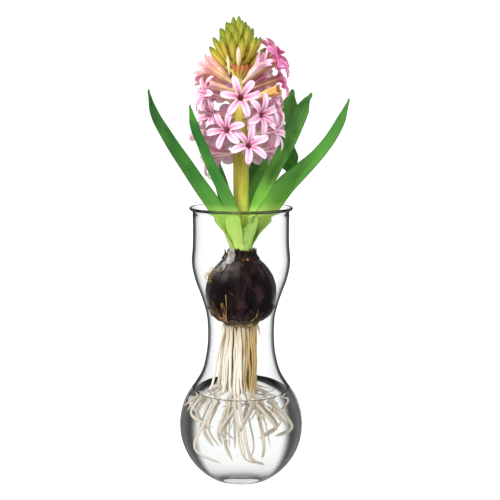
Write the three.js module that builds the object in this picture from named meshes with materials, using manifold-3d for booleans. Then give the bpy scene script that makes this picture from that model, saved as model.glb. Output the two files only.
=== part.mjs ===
// A pink hyacinth in flower, growing from its bulb in a waisted bulb glass, with its roots in water.
// Millimetres, +Z up. The origin is the middle of the glass's flat foot, and the front of the plant faces -Y.
import * as THREE from "three";
import { mergeVertices } from "three/addons/utils/BufferGeometryUtils.js";
import Module from "manifold-3d";

const wasm = await Module();
wasm.setup();

const GAP = 0.3; // clearance between pieces that rest on or in each other
const TURN = Math.PI * 2;
const GOLDEN_ANGLE = 2.39996; // spreads repeats evenly over a disc, radians

// Bulb glass: a round bowl on a flat foot, a waist that the bulb can't pass, and a cup with a rolled lip.
const GLASS = {
  wall: 2.3,
  floor: 9,
  floorRound: 5, // height above the floor where the wall starts to round into it
  bowlRadius: 50.5,
  bowlMiddle: 43, // height of the bowl's widest ring
  bowlTop: 75, // height where the bowl turns into the waist
  sides: 32,
  bowlSteps: 7,
};
// Waist and cup, outside: radius, height.
const GLASS_NECK = [
  [32.6, 86],
  [28.3, 102],
  [27, 118],
  [27.8, 134],
  [32, 149.5],
  [37.6, 165.5],
  [39.8, 178],
  [38.8, 204],
  [38.7, 213.5],
];
// Ring bead and rolled lip, outside: radius, height.
const GLASS_LIP = [
  [39.7, 215],
  [38.9, 217.4],
  [41.4, 220.4],
  [41.2, 222.5],
  [38.4, 222.8],
];
const WATER_HEIGHT = 73.3;

// Bulb: its skin outside, radius and height, from the root plate up to the ragged neck.
const BULB_SIDES = 28;
const BULB_SKIN = [
  [12, 129.4],
  [19.4, 131.6],
  [25, 137],
  [27.7, 144.5],
  [28.6, 152],
  [28.1, 159],
  [25.8, 166],
  [22.2, 171.5],
  [18.4, 176],
  [14.6, 180],
  [11.4, 184.6],
  [10.7, 188],
];
const NECK = { bore: 9.2, floor: 178, rim: 187, ragged: 3.2 };
const TUNIC = {
  laps: 7, // overlapping papery scales round the bulb
  step: 0.7, // how far each lap stands out
  lean: 160, // rise in which the laps wind once round the bulb
};

const ROOTS = {
  count: 20,
  crownRadius: 15,
  crownThickness: 3,
  bundleRadius: 16.3, // at the water
  bundleShift: -3, // the bundle hangs a little to the left
  thickness: 3,
  clearance: 0.45, // round each root in the water
  depth: [20, 54], // how far below the water line the roots reach
  reach: [4, 24], // how far out they spread there, beyond the bundle
  steps: 6,
  sides: 5,
};

const STALK_SIDES = 12;
const STALK_RIBS = 0.03; // share of the radius by which its ribs stand out
// Flower stalk: radius, height.
const STALK = [
  [4.5, 178.3],
  [4.6, 205],
  [6.2, 232],
  [6.3, 262],
  [5.6, 295],
  [4.6, 318],
  [3.6, 336],
  [2.4, 350],
  [1.2, 358],
];

const STALK_LEAN = { from: 255, to: 340, by: -3 }; // the tip leans a little to the left

// Closed buds, in tiers up the tip of the stalk. A stem leaves the stalk at rise, the angle above level, and the bud
// on it turns up to stand. Start is the first one's direction from the front, and arc the part of a turn filled.
const BUD_TIERS = [
  { height: 321, count: 5, rise: 44, stem: 8.5, stand: 72, length: 8.5, radius: 1.9, start: -22, arc: 116 },
  { height: 326, count: 8, rise: 34, stem: 12, stand: 48, length: 18.5, radius: 2.9, start: 84, arc: 222 },
  { height: 331, count: 11, rise: 36, stem: 12, stand: 62, length: 18.5, radius: 2.7, start: 16 },
  { height: 336, count: 10, rise: 44, stem: 10.5, stand: 72, length: 19.5, radius: 2.7, start: 0 },
  { height: 341, count: 7, rise: 56, stem: 8.5, stand: 80, length: 19.5, radius: 2.6, start: 24 },
  { height: 345.5, count: 3, rise: 76, stem: 6.5, stand: 86, length: 18.5, radius: 2.5, start: 12 },
];
const BUD = {
  sides: 5,
  stemRadius: 1.1,
  start: 2, // distance from the stalk's middle, well inside the stalk
  // Radius along a bud, both as shares, from its blunt foot to its pointed tip.
  profile: [
    [0, 0.64],
    [0.74, 1],
    [1, 0.3],
  ],
};

// Florets by whorl, from the lowest. Around is in degrees from the front, positive to the right.
// Open is 1 for a floret with its petals curled right back and 0 for a closed one.
const WHORLS = [
  {
    height: 265,
    florets: [
      { around: 14, rise: 20 },
      { around: -80, rise: -14, reach: 2 },
      { around: -138, rise: 0, reach: -2 },
      { around: 172, rise: 2 },
      { around: 124, rise: 6 },
    ],
  },
  {
    height: 279.5,
    florets: [
      { around: -24, rise: 12 },
      { around: -74, rise: 10, reach: 2 },
      { around: 70, rise: 8, reach: 3 },
      { around: 126, rise: 8, reach: 3 },
      { around: -157, rise: 8 },
      { around: -116, rise: 6, reach: 3 },
    ],
  },
  {
    height: 293,
    florets: [
      { around: -56, rise: 8 },
      { around: 40, rise: 6 },
      { around: 92, rise: 14, reach: 3 },
      { around: 138, rise: 10 },
      { around: -178, rise: 15, reach: 1 },
      { around: -106, rise: 14 },
    ],
  },
  {
    height: 306,
    florets: [
      { around: 4, rise: 6 },
      { around: -66, rise: 14, reach: 3 },
      { around: 64, rise: 16, open: 0.1 },
      { around: 112, rise: 18, reach: 3 },
      { around: 164, rise: 24, reach: 1 },
      { around: -134, rise: 18, reach: 3 },
    ],
  },
  {
    height: 314,
    florets: [
      { around: 88, rise: 20, reach: 9 },
      { around: 130, rise: 32 },
      { around: -168, rise: 32, reach: 2 },
      { around: -98, rise: 26, open: 0.4 },
      { around: -44, rise: 8, open: 0 },
    ],
  },
  {
    height: 320,
    florets: [
      { around: 48, rise: 38, open: 0.3 },
      { around: 110, rise: 43, reach: 12 },
      { around: 75, rise: 32.5, reach: 10 },
      { around: -66, rise: 28, open: 0.45 },
      { around: -136, rise: 38, open: 0.4 },
      { around: 166, rise: 44, open: 0.3 },
    ],
  },
];
const FLORET = {
  stem: 6,
  stemRadius: 1.1,
  mouth: 12.5, // length of the tube
  ovaryRadius: 2.9,
  mouthRadius: 3.4,
  throatRadius: 2.4,
  throatDepth: 6,
  petalLength: 15.5,
  petalThickness: 0.8,
  heartReach: 4, // room kept in front of the mouth for a floret's own petals to start in
  heartRise: 4.2,
};
const PETALS = 6;
// Petal half-width along its length, from the mouth to the tip: for the florets of the front and of the back.
const PETAL_WIDTHS = [
  [0.38, 2],
  [0.76, 2.3],
  [1, 0.7],
];
const BACK_PETAL_WIDTHS = [
  [0.6, 2.3],
  [1, 0.8],
];
const BACK_FROM = 118; // degrees from the front

// Leaves. Layer is the radius at which the foot wraps the stalk, and foot the direction that it faces in degrees
// anticlockwise from +X. Width is the half-width of the lower and the upper blade, and roll how far they have turned
// over.
const LEAVES = {
  leaf_outer_left: {
    layer: 7.95,
    foot: 200,
    width: [6.6, 6.4],
    roll: [-84, -54],
    spine: [
      [-11.3, -4, 197.5],
      [-14, -5, 205],
      [-17.3, -6, 215.7],
      [-25.6, -7, 229.4],
      [-34.8, -7.5, 242.2],
      [-44, -8.5, 256],
      [-53, -10, 269.2],
      [-60.8, -11, 282],
      [-67.8, -12, 295.2],
      [-70.6, -12, 305],
      [-71.6, -12, 315],
    ],
  },
  leaf_inner_left: {
    layer: 5.95,
    foot: 258,
    width: [6, 4.4],
    roll: [8, 20],
    taper: 0.8,
    spine: [
      [-3.6, -8.8, 202],
      [-7, -12.5, 216],
      [-14.8, -18, 238],
      [-22, -21, 252],
      [-31, -23, 273],
      [-37.5, -24.5, 290],
      [-39, -24, 303],
    ],
  },
  leaf_back_left: {
    layer: 5.95,
    foot: 145,
    width: [5.8, 5.4],
    roll: [-30, -50],
    spine: [
      [-9, 9.4, 205],
      [-11.4, 13, 218],
      [-14.5, 17, 234],
      [-20.4, 23.5, 251],
      [-27, 31, 268],
      [-30.5, 37, 284],
    ],
  },
  leaf_right: {
    layer: 5.95,
    foot: 336,
    width: [9.2, 7],
    roll: [66, 50],
    taper: 0.84,
    spine: [
      [5.6, -9.2, 203],
      [8.8, -11, 214],
      [17, -9.6, 230],
      [26.6, -3, 250],
      [37.2, 5, 270],
      [46, 8, 290],
      [52.5, 9, 305],
      [56.5, 9, 313],
    ],
  },
  leaf_outer_right: {
    layer: 7.95,
    foot: 6,
    width: [8.8, 5.3],
    roll: [66, 48],
    taper: 0.68,
    spine: [
      [12.8, 0.8, 197.5],
      [15, 1.4, 204],
      [19, 3.6, 213],
      [28, 9.5, 228],
      [40, 13, 242.5],
      [56, 16, 256.2],
      [68.4, 18, 269.5],
      [77, 20, 282],
      [83.5, 21, 295.5],
      [88, 21, 309],
    ],
  },
  leaf_back_right: {
    layer: 5.95,
    foot: 70,
    width: [9.4, 9],
    roll: [12, 36],
    taper: 0.84,
    spine: [
      [4, 13, 205],
      [8.2, 17.5, 218],
      [15, 20, 234],
      [22, 27, 252],
      [32, 33, 275],
      [39, 37, 295],
      [43, 38, 317],
    ],
  },
  leaf_back_arching: {
    layer: 8.15,
    foot: 104,
    width: [10.5, 12.3],
    roll: [0, 0],
    taper: 0.92,
    spine: [
      [-0.5, 19.5, 207],
      [5, 30, 227],
      [12, 40, 252],
      [18, 48, 270],
      [25, 53, 278],
      [33, 53, 272],
      [39, 52.5, 264],
      [44.5, 51.5, 254.5],
      [45.5, 50.5, 243],
    ],
  },
};
const LEAF = {
  rows: 11,
  columns: 4,
  crowding: 0.45, // how much closer together the sections are near foot and tip
  midrib: 1.5,
  edge: 0.8,
  tip: 1, // half-width left at the tip
  footAngle: 0.56, // half the arc that a foot wraps, radians
  flare: 1, // how far it has spread by the time it leaves the neck
  bladeAngle: 0.62,
  tipAngle: 0.95,
  spread: 0.3, // share of the length by which the blade has its full width
  rolled: 0.27, // share of the length by which it has turned to the front
  taper: 0.6, // share of the length where it starts to narrow
};

// The same number from 0 to 1 for each n, scattered without a pattern.
function scatter(n) {
  const x = Math.sin(n * 12.9898) * 43758.5453;
  return x - Math.floor(x);
}

function smooth(from, to, x) {
  const t = Math.min(1, Math.max(0, (x - from) / (to - from)));
  return t * t * (3 - 2 * t);
}

// A closed skin of triangles, built point by point.
class Skin {
  constructor() {
    this.points = [];
    this.faces = [];
  }
  add(point) {
    this.points.push(point.clone());
    return this.points.length - 1;
  }
  quad(a, b, c, d) {
    this.faces.push(a, b, c, a, c, d);
  }
  fan(ring, reverse) {
    for (let i = 1; i + 1 < ring.length; i++) {
      this.faces.push(ring[0], ring[reverse ? i + 1 : i], ring[reverse ? i : i + 1]);
    }
  }
  // Joins two rings of equal length with a wall.
  wall(low, high) {
    low.forEach((_, i) => {
      const next = (i + 1) % low.length;
      this.quad(low[i], low[next], high[next], high[i]);
    });
  }
  geometry() {
    const position = new Float32Array(this.points.flatMap((p) => [p.x, p.y, p.z]));
    return new THREE.BufferGeometry()
      .setAttribute("position", new THREE.BufferAttribute(position, 3))
      .setIndex(this.faces);
  }
}

// A closed skin through rings of points, with both ends filled.
function closedRings(rings) {
  const skin = new Skin();
  const indices = rings.map((ring) => ring.map((p) => skin.add(p)));
  indices.slice(1).forEach((ring, i) => skin.wall(indices[i], ring));
  skin.fan(indices[0], true);
  skin.fan(indices.at(-1), false);
  return skin.geometry();
}

// A thin plate between two equal grids of points, with both faces split into triangles alike.
function plate(upper, lower) {
  const skin = new Skin();
  const [top, bottom] = [upper, lower].map((rows) => rows.map((row) => row.map((p) => skin.add(p))));
  const last = top.length - 1;
  const end = top[0].length - 1;
  for (let i = 0; i < last; i++) {
    for (let j = 0; j < end; j++) {
      skin.quad(top[i][j], top[i][j + 1], top[i + 1][j + 1], top[i + 1][j]);
      skin.faces.push(bottom[i][j], bottom[i + 1][j + 1], bottom[i][j + 1]);
      skin.faces.push(bottom[i][j], bottom[i + 1][j], bottom[i + 1][j + 1]);
    }
    skin.quad(bottom[i][0], top[i][0], top[i + 1][0], bottom[i + 1][0]);
    skin.quad(top[i][end], bottom[i][end], bottom[i + 1][end], top[i + 1][end]);
  }
  for (let j = 0; j < end; j++) {
    skin.quad(bottom[0][j], bottom[0][j + 1], top[0][j + 1], top[0][j]);
    skin.quad(top[last][j], top[last][j + 1], bottom[last][j + 1], bottom[last][j]);
  }
  return skin.geometry();
}

function toSolid(geometry) {
  const bare = new THREE.BufferGeometry()
    .setAttribute("position", geometry.getAttribute("position"))
    .setIndex(geometry.index);
  const merged = mergeVertices(bare, 1e-4);
  return new wasm.Manifold(
    new wasm.Mesh({
      numProp: 3,
      vertProperties: new Float32Array(merged.attributes.position.array),
      triVerts: new Uint32Array(merged.index.array),
    }),
  );
}

function toGeometry(solid) {
  const mesh = solid.getMesh();
  return new THREE.BufferGeometry()
    .setAttribute("position", new THREE.BufferAttribute(new Float32Array(mesh.vertProperties), 3))
    .setIndex(new THREE.BufferAttribute(new Uint32Array(mesh.triVerts), 1));
}

// The largest single body of a solid, without the crumbs that a cut can leave.
function mainBody(solid) {
  return solid.decompose().sort((a, b) => b.volume() - a.volume())[0];
}

// Radius at a height on a list of [radius, height] pairs.
function radiusAt(profile, height) {
  const above = profile.findIndex(([, z]) => z >= height);
  if (above <= 0) return profile.at(above === 0 ? 0 : -1)[0];
  const [[r0, z0], [r1, z1]] = profile.slice(above - 1, above + 1);
  return r0 + ((r1 - r0) * (height - z0)) / (z1 - z0);
}

// How far the stalk's middle is to the side at a height.
function leanAt(height) {
  return STALK_LEAN.by * smooth(STALK_LEAN.from, STALK_LEAN.to, height);
}

function polar(radius, angle, height) {
  return new THREE.Vector3(radius * Math.cos(angle), radius * Math.sin(angle), height);
}

function pairs(list) {
  return list.map(([r, z]) => new THREE.Vector2(r, z));
}

// LatheGeometry turns a profile about Y; this stands it up about Z.
function lathe(profile, sides) {
  return new THREE.LatheGeometry(profile, sides).rotateX(Math.PI / 2);
}

// The glass's outside, from the edge of the foot to the lip.
function glassOutside() {
  const { bowlRadius, bowlMiddle, bowlTop, bowlSteps } = GLASS;
  const arc = (z) => new THREE.Vector2(Math.sqrt(bowlRadius ** 2 - (z - bowlMiddle) ** 2), z);
  const low = Math.asin(-bowlMiddle / bowlRadius);
  const high = Math.asin((bowlTop - bowlMiddle) / bowlRadius);
  const bowl = Array.from({ length: bowlSteps + 1 }, (_, i) =>
    arc(bowlMiddle + bowlRadius * Math.sin(low + ((high - low) * i) / bowlSteps)),
  );
  bowl[0].y = 0;
  return [...bowl, ...pairs(GLASS_NECK)];
}

// The glass's inside, one wall in from the outside, and the thick floor.
function glassInside(inset) {
  const outside = glassOutside();
  const floor = GLASS.floor + inset - GLASS.wall;
  const wall = outside.map((p, i) => {
    const along = outside[Math.min(i + 1, outside.length - 1)]
      .clone()
      .sub(outside[Math.max(i - 1, 0)])
      .normalize();
    return new THREE.Vector2(p.x - along.y * inset, p.y + along.x * inset);
  });
  const rising = wall.filter((p) => p.y > floor + GLASS.floorRound);
  const edge = rising[0].x;
  return [
    new THREE.Vector2(0, floor),
    new THREE.Vector2(edge * 0.55, floor + GLASS.floorRound * 0.08),
    new THREE.Vector2(edge * 0.84, floor + GLASS.floorRound * 0.6),
    ...rising,
  ];
}

function glassVase() {
  const inside = glassInside(GLASS.wall);
  const outside = [...glassOutside(), ...pairs(GLASS_LIP)];
  const profile = [new THREE.Vector2(0, 0), ...outside, ...inside.reverse()];
  return lathe(profile, GLASS.sides);
}

// Where a root runs: down in the bundle to the water, then out and round under it.
function rootLine(index) {
  const around = index * GOLDEN_ANGLE;
  const share = Math.sqrt((index + 0.5) / ROOTS.count);
  const hang = ROOTS.bundleRadius * share;
  const bend = scatter(index + 1);
  const depth = THREE.MathUtils.lerp(...ROOTS.depth, scatter(index + 40));
  const reach = hang + THREE.MathUtils.lerp(...ROOTS.reach, bend);
  const drift = around + (scatter(index + 80) - 0.5) * 1.6;
  const crown = BULB_SKIN[0][1] - ROOTS.crownThickness;
  const low = WATER_HEIGHT - depth;
  const points = [
    [(ROOTS.crownRadius - ROOTS.thickness) * share, around, crown + 1, 0],
    [(ROOTS.crownRadius - ROOTS.thickness) * share, around, crown - 5, 0],
    [hang * 0.95, around + 0.1, (crown + WATER_HEIGHT) / 2, 0.4],
    [hang, around + 0.15, WATER_HEIGHT + 5, 1],
    [(hang + reach) / 2, (around + drift) / 2 + 0.1, WATER_HEIGHT - depth * 0.45, 1],
    [reach, drift, low + 4, 0.8],
    [reach * 0.72, drift + 0.9 * (bend - 0.4), low - 4, 0.6],
  ];
  return new THREE.CatmullRomCurve3(
    points.map(([radius, angle, height, shift]) => {
      const point = polar(radius, angle, height);
      point.x += shift * ROOTS.bundleShift;
      return point;
    }),
  );
}

// A root's tapering tube, thicker all round by extra.
function rootTube(index, extra) {
  const line = rootLine(index);
  const { steps, sides, thickness } = ROOTS;
  const frames = line.computeFrenetFrames(steps, false);
  const rings = Array.from({ length: steps + 1 }, (_, i) => {
    const share = i / steps;
    const radius = (thickness / 2) * (1 - 0.45 * share ** 3) + extra;
    const middle = line.getPointAt(share);
    if (i === steps) middle.addScaledVector(frames.tangents[i], extra);
    return Array.from({ length: sides }, (_, k) => {
      const angle = (k / sides) * TURN;
      return middle
        .clone()
        .addScaledVector(frames.normals[i], radius * Math.cos(angle))
        .addScaledVector(frames.binormals[i], radius * Math.sin(angle));
    });
  });
  return toSolid(closedRings(rings));
}

function rootMass(extra) {
  const tubes = Array.from({ length: ROOTS.count }, (_, i) => rootTube(i, extra));
  return wasm.Manifold.union(tubes);
}

// All the roots, grown from the flat crown under the bulb.
function roots() {
  const top = BULB_SKIN[0][1] - GAP;
  const { crownRadius, crownThickness } = ROOTS;
  const crown = new THREE.CylinderGeometry(crownRadius, crownRadius * 0.9, crownThickness, 18)
    .rotateX(Math.PI / 2)
    .translate(0, 0, top - crownThickness / 2);
  return toGeometry(mainBody(rootMass(0).add(toSolid(crown))));
}

// Water fills the bowl to its line, with a hole for each root.
function water() {
  const inside = glassInside(GLASS.wall + GAP);
  const below = inside.filter((p) => p.y < WATER_HEIGHT - 1);
  const edge = radiusAt(
    inside.map((p) => [p.x, p.y]),
    WATER_HEIGHT,
  );
  const profile = [...below, new THREE.Vector2(edge, WATER_HEIGHT), new THREE.Vector2(0, WATER_HEIGHT)];
  const full = toSolid(lathe(profile, GLASS.sides));
  return toGeometry(mainBody(full.subtract(rootMass(ROOTS.clearance))));
}

// The bulb, with its papery scales as laps in the skin, a ragged neck, and a bore for the leaves.
function bulb() {
  const rows = [...BULB_SKIN, [NECK.bore, NECK.rim], [NECK.bore, NECK.floor]];
  const outer = BULB_SKIN.length;
  const rings = rows.map(([radius, height], row) =>
    Array.from({ length: BULB_SIDES }, (_, k) => {
      const share = k / BULB_SIDES;
      const twist = (height - BULB_SKIN[0][1]) / TUNIC.lean;
      const lap = ((share + twist) * TUNIC.laps) % 1;
      const body = row < outer ? Math.sin((Math.PI * row) / (outer - 1)) : 0;
      const ragged = row === outer - 1 ? NECK.ragged * (scatter(k + 7) - 0.3) : 0;
      return polar(radius - TUNIC.step * (1 - lap) * body, share * TURN, height + ragged);
    }),
  );
  return closedRings(rings);
}

// One closed bud with its stem, growing out along +X from the middle of the stalk.
function bud(tier, index) {
  const size = 0.92 + 0.16 * scatter(index + tier.height);
  const tilt = 6 * (scatter(index + tier.height * 2) - 0.5);
  const [rise, stand] = [tier.rise, tier.stand + tilt].map(THREE.MathUtils.degToRad);
  const step = (angle, length) => new THREE.Vector3(length * Math.cos(angle), 0, length * Math.sin(angle));
  const foot = step(rise, tier.stem);
  const sections = [
    [step(rise, BUD.start), rise, BUD.stemRadius],
    ...BUD.profile.map(([share, wide]) => [
      foot.clone().add(step(stand, tier.length * size * share)),
      share > 0 ? stand : (rise + stand) / 2,
      tier.radius * wide,
    ]),
  ];
  const rings = sections.map(([middle, angle, radius]) => {
    const side = new THREE.Vector3(0, 1, 0);
    const up = new THREE.Vector3(-Math.sin(angle), 0, Math.cos(angle));
    return Array.from({ length: BUD.sides }, (_, k) => {
      const turn = (k / BUD.sides) * TURN;
      return middle
        .clone()
        .addScaledVector(side, radius * Math.cos(turn))
        .addScaledVector(up, radius * Math.sin(turn));
    });
  });
  return closedRings(rings);
}

// Turns a piece that stands along +Z so that it points outwards at an angle from the front and a rise above level.
function outward(around, rise, foot, turn) {
  const azimuth = THREE.MathUtils.degToRad(around - 90);
  const level = new THREE.Vector3(Math.cos(azimuth), Math.sin(azimuth), 0);
  const angle = THREE.MathUtils.degToRad(rise);
  const along = level.clone().multiplyScalar(Math.cos(angle));
  along.z = Math.sin(angle);
  const side = new THREE.Vector3(-level.y, level.x, 0);
  const up = new THREE.Vector3().crossVectors(along, side);
  return new THREE.Matrix4()
    .makeBasis(side, up, along)
    .multiply(new THREE.Matrix4().makeRotationZ(THREE.MathUtils.degToRad(turn)))
    .setPosition(foot);
}

// The flower stalk, ribbed, with the closed buds of its tip grown from it.
function stalk() {
  const rings = STALK.map(([radius, height]) =>
    Array.from({ length: STALK_SIDES }, (_, k) =>
      polar(radius * (1 + STALK_RIBS * (k % 2 ? -1 : 1)), (k / STALK_SIDES) * TURN, height).add(
        new THREE.Vector3(leanAt(height), 0, 0),
      ),
    ),
  );
  const pieces = [toSolid(closedRings(rings))];
  for (const tier of BUD_TIERS) {
    for (let i = 0; i < tier.count; i++) {
      const share = (i + 0.3 * (scatter(i + tier.height) - 0.5)) / tier.count;
      const around = THREE.MathUtils.degToRad(tier.start + share * (tier.arc ?? 360) - 90);
      pieces.push(toSolid(bud(tier, i).rotateZ(around).translate(leanAt(tier.height), 0, tier.height)));
    }
  }
  return toGeometry(wasm.Manifold.union(pieces));
}

// Half-width of a leaf blade at a share of its length.
function leafHalfWidth(spec, share) {
  const foot = spec.layer * LEAF.footAngle;
  const blade = THREE.MathUtils.lerp(...spec.width, smooth(0.35, 0.75, share));
  const full = THREE.MathUtils.lerp(foot, blade, smooth(0.04, LEAF.spread, share));
  const { taper = LEAF.taper } = spec;
  const past = Math.max(0, (share - taper) / (1 - taper));
  return Math.max(LEAF.tip, full * Math.pow(1 - past ** 2.4, 0.65));
}

// A leaf: its foot wraps the stalk inside the neck, and its channelled blade rises along the spine to a hooded tip.
function leaf(spec) {
  const foot = THREE.MathUtils.degToRad(spec.foot);
  const start = [
    polar(spec.layer, foot, NECK.floor + GAP),
    polar(spec.layer, foot, NECK.rim - 1),
    polar(spec.layer + LEAF.flare, foot, NECK.rim + 4.5),
  ];
  const line = new THREE.CatmullRomCurve3([...start, ...spec.spine.map((p) => new THREE.Vector3(...p))]);
  const upper = [];
  const lower = [];
  for (let row = 0; row <= LEAF.rows; row++) {
    const step = row / LEAF.rows;
    const share = THREE.MathUtils.lerp(step, smooth(0, 1, step), LEAF.crowding);
    const middle = line.getPointAt(share);
    const along = line.getTangentAt(share);
    const inward = new THREE.Vector3(-middle.x, -middle.y, 0).normalize();
    inward.addScaledVector(along, -inward.dot(along)).normalize();
    const roll = THREE.MathUtils.lerp(...spec.roll, smooth(0.3, 0.75, share)) * smooth(0.1, LEAF.rolled, share);
    inward.applyAxisAngle(along, THREE.MathUtils.degToRad(roll));
    const across = new THREE.Vector3().crossVectors(along, inward);
    const halfWidth = leafHalfWidth(spec, share);
    const blade = THREE.MathUtils.lerp(LEAF.footAngle, LEAF.bladeAngle, smooth(0.05, LEAF.spread, share));
    const angle = THREE.MathUtils.lerp(blade, LEAF.tipAngle, smooth(0.8, 1, share));
    const bow = halfWidth / angle;
    const faces = [[], []];
    for (let column = 0; column <= LEAF.columns; column++) {
      const u = (2 * column) / LEAF.columns - 1;
      const half = (LEAF.edge + (LEAF.midrib - LEAF.edge) * (1 - u * u) * (1 - 0.4 * share)) / 2;
      const point = middle
        .clone()
        .addScaledVector(across, bow * Math.sin(angle * u))
        .addScaledVector(inward, bow * (1 - Math.cos(angle * u)));
      const normal = inward
        .clone()
        .multiplyScalar(Math.cos(angle * u))
        .addScaledVector(across, -Math.sin(angle * u));
      faces[0].push(point.clone().addScaledVector(normal, half));
      faces[1].push(point.clone().addScaledVector(normal, -half));
    }
    upper.push(faces[0]);
    lower.push(faces[1]);
  }
  return plate(upper, lower);
}

// The corners of a petal's cross-section at a share of its length: two below, then two above, in the floret's own
// frame. The petal leaves the mouth outwards at the angle lift, curls back by curl and swings sideways by swing.
function petalSection(floret, petal, share) {
  const { lift, curl, swing, length } = floret.petals[petal];
  const curve = Math.max(curl, 0.01);
  const middle = (FLORET.mouthRadius + FLORET.throatRadius) / 2;
  const reach = middle + ((Math.cos(lift) - Math.cos(lift + curve * share)) * length) / curve;
  const height = floret.mouth + ((Math.sin(lift + curve * share) - Math.sin(lift)) * length) / curve;
  const facing = lift + curve * share;
  const azimuth = ((petal + 1) / PETALS) * TURN + swing * share;
  const radial = new THREE.Vector3(Math.cos(azimuth), Math.sin(azimuth), 0);
  const side = new THREE.Vector3(-radial.y, radial.x, 0);
  const normal = radial.clone().multiplyScalar(-Math.cos(facing));
  normal.z = Math.sin(facing);
  const centre = radial.clone().multiplyScalar(reach);
  centre.z = height;
  const halfWidth = floret.widths.find(([at]) => at >= share)[1] * floret.size;
  const half = FLORET.petalThickness / 2;
  return [
    [-halfWidth, -half],
    [halfWidth, -half],
    [-halfWidth, half],
    [halfWidth, half],
  ].map(([w, t]) => centre.clone().addScaledVector(side, w).addScaledVector(normal, t));
}

// One petal alone, as a solid in place, for finding room among its neighbours.
function loosePetal(floret, petal) {
  const sections = [0.12, ...floret.widths.map(([share]) => share)].map((share) =>
    petalSection(floret, petal, share),
  );
  const upper = sections.map((s) => [s[3], s[2]]);
  const lower = sections.map((s) => [s[1], s[0]]);
  return toSolid(plate(upper, lower).applyMatrix4(floret.place));
}

// The rings of a floret's stem and tube, from the foot to the mouth: height along it and radius.
function tubeRings(floret) {
  const { stem, mouth, size } = floret;
  return [
    [0, FLORET.stemRadius],
    [stem, FLORET.stemRadius],
    [stem + (mouth - stem) * 0.35, FLORET.ovaryRadius * size],
    [mouth, FLORET.mouthRadius],
  ].map(([height, radius]) =>
    Array.from({ length: PETALS }, (_, k) => polar(radius, ((k + 0.5) / PETALS) * TURN, height)),
  );
}

// A floret's stem and tube as a solid in place, with the room in front of its mouth that its petals start in.
function looseTube(floret) {
  const rings = tubeRings(floret);
  const reach = FLORET.mouthRadius + FLORET.heartReach * floret.open;
  const front = floret.mouth + FLORET.heartRise;
  rings.push(Array.from({ length: PETALS }, (_, k) => polar(reach, ((k + 0.5) / PETALS) * TURN, front)));
  return toSolid(closedRings(rings).applyMatrix4(floret.place));
}

// A whole floret as one skin: stem, swollen tube and open throat, and six petals drawn out of the rim.
function floretSkin(floret) {
  const skin = new Skin();
  const tube = tubeRings(floret).map((ring) => ring.map((p) => skin.add(p)));
  skin.fan(tube[0], true);
  tube.slice(1).forEach((ring, i) => skin.wall(tube[i], ring));
  const rim = tube.at(-1);
  const lipHeight = floret.mouth + 0.25;
  const lip = rim.map((_, k) => skin.add(polar(FLORET.throatRadius, ((k + 0.5) / PETALS) * TURN, lipHeight)));
  const throat = skin.add(new THREE.Vector3(0, 0, floret.mouth - FLORET.throatDepth));
  for (let k = 0; k < PETALS; k++) {
    const next = (k + 1) % PETALS;
    skin.faces.push(lip[k], lip[next], throat);
    let [lowLeft, lowRight, highLeft, highRight] = [rim[k], rim[next], lip[k], lip[next]];
    for (const [share] of floret.widths) {
      const corners = petalSection(floret, k, share).map((p) => skin.add(p));
      skin.quad(lowLeft, lowRight, corners[1], corners[0]);
      skin.faces.push(highLeft, corners[3], highRight, highLeft, corners[2], corners[3]);
      skin.quad(highLeft, lowLeft, corners[0], corners[2]);
      skin.quad(lowRight, highRight, corners[3], corners[1]);
      [lowLeft, lowRight, highLeft, highRight] = corners;
    }
    skin.quad(lowLeft, lowRight, highRight, highLeft);
  }
  return skin.geometry().applyMatrix4(floret.place);
}

// The florets' places and natural petals, before any petal is bent clear of its neighbours.
function plannedFlorets() {
  const planned = [];
  WHORLS.forEach(({ height, florets }) =>
    florets.forEach(({ around, rise, reach = 0, open = 1 }) => {
      const n = planned.length + 1;
      const tilt = Math.abs(Math.sin(THREE.MathUtils.degToRad(rise)));
      const out = radiusAt(STALK, height) * (1 + STALK_RIBS) + GAP + FLORET.stemRadius * tilt;
      const azimuth = THREE.MathUtils.degToRad(around - 90);
      const foot = polar(out, azimuth, height);
      foot.x += leanAt(height);
      const stem = FLORET.stem + reach + 2 * scatter(n);
      const size = 0.86 + 0.14 * Math.min(1, open + 0.3);
      const petals = Array.from({ length: PETALS }, (_, k) => ({
        lift: THREE.MathUtils.degToRad(-6 + 44 * open),
        curl: THREE.MathUtils.degToRad(8 + (72 + 24 * scatter(n * 7 + k)) * open),
        swing: (scatter(n * 11 + k) - 0.5) * 0.12,
        length: FLORET.petalLength * (0.72 + 0.28 * open) * (k % 2 ? 0.95 : 1),
      }));
      planned.push({
        name: `floret_${String(n).padStart(2, "0")}`,
        open,
        stem,
        size,
        mouth: stem + FLORET.mouth * (0.9 + 0.1 * open),
        petals,
        widths: Math.abs(around) > BACK_FROM ? BACK_PETAL_WIDTHS : PETAL_WIDTHS,
        place: outward(around, rise, foot, 60 * scatter(n + 300)),
      });
    }),
  );
  return planned;
}

// Ways to bend a petal clear, from the slightest: how far it curls and swings, and the share of its length kept.
function petalBends() {
  const bends = [];
  for (const keep of [1, 0.85, 0.7, 0.55, 0.4]) {
    for (const curl of [0, 12, -12, 24, -24, 36, -36, 50, -50, -65]) {
      for (const swing of [0, 8, -8, 16, -16, 24, -24]) {
        bends.push({ keep, curl, swing, cost: Math.abs(curl) + Math.abs(swing) * 1.5 + (1 - keep) * 160 });
      }
    }
  }
  return bends.sort((a, b) => a.cost - b.cost);
}

function boxesMeet(a, b) {
  return [0, 1, 2].every((i) => a.min[i] <= b.max[i] + GAP && b.min[i] <= a.max[i] + GAP);
}

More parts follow.
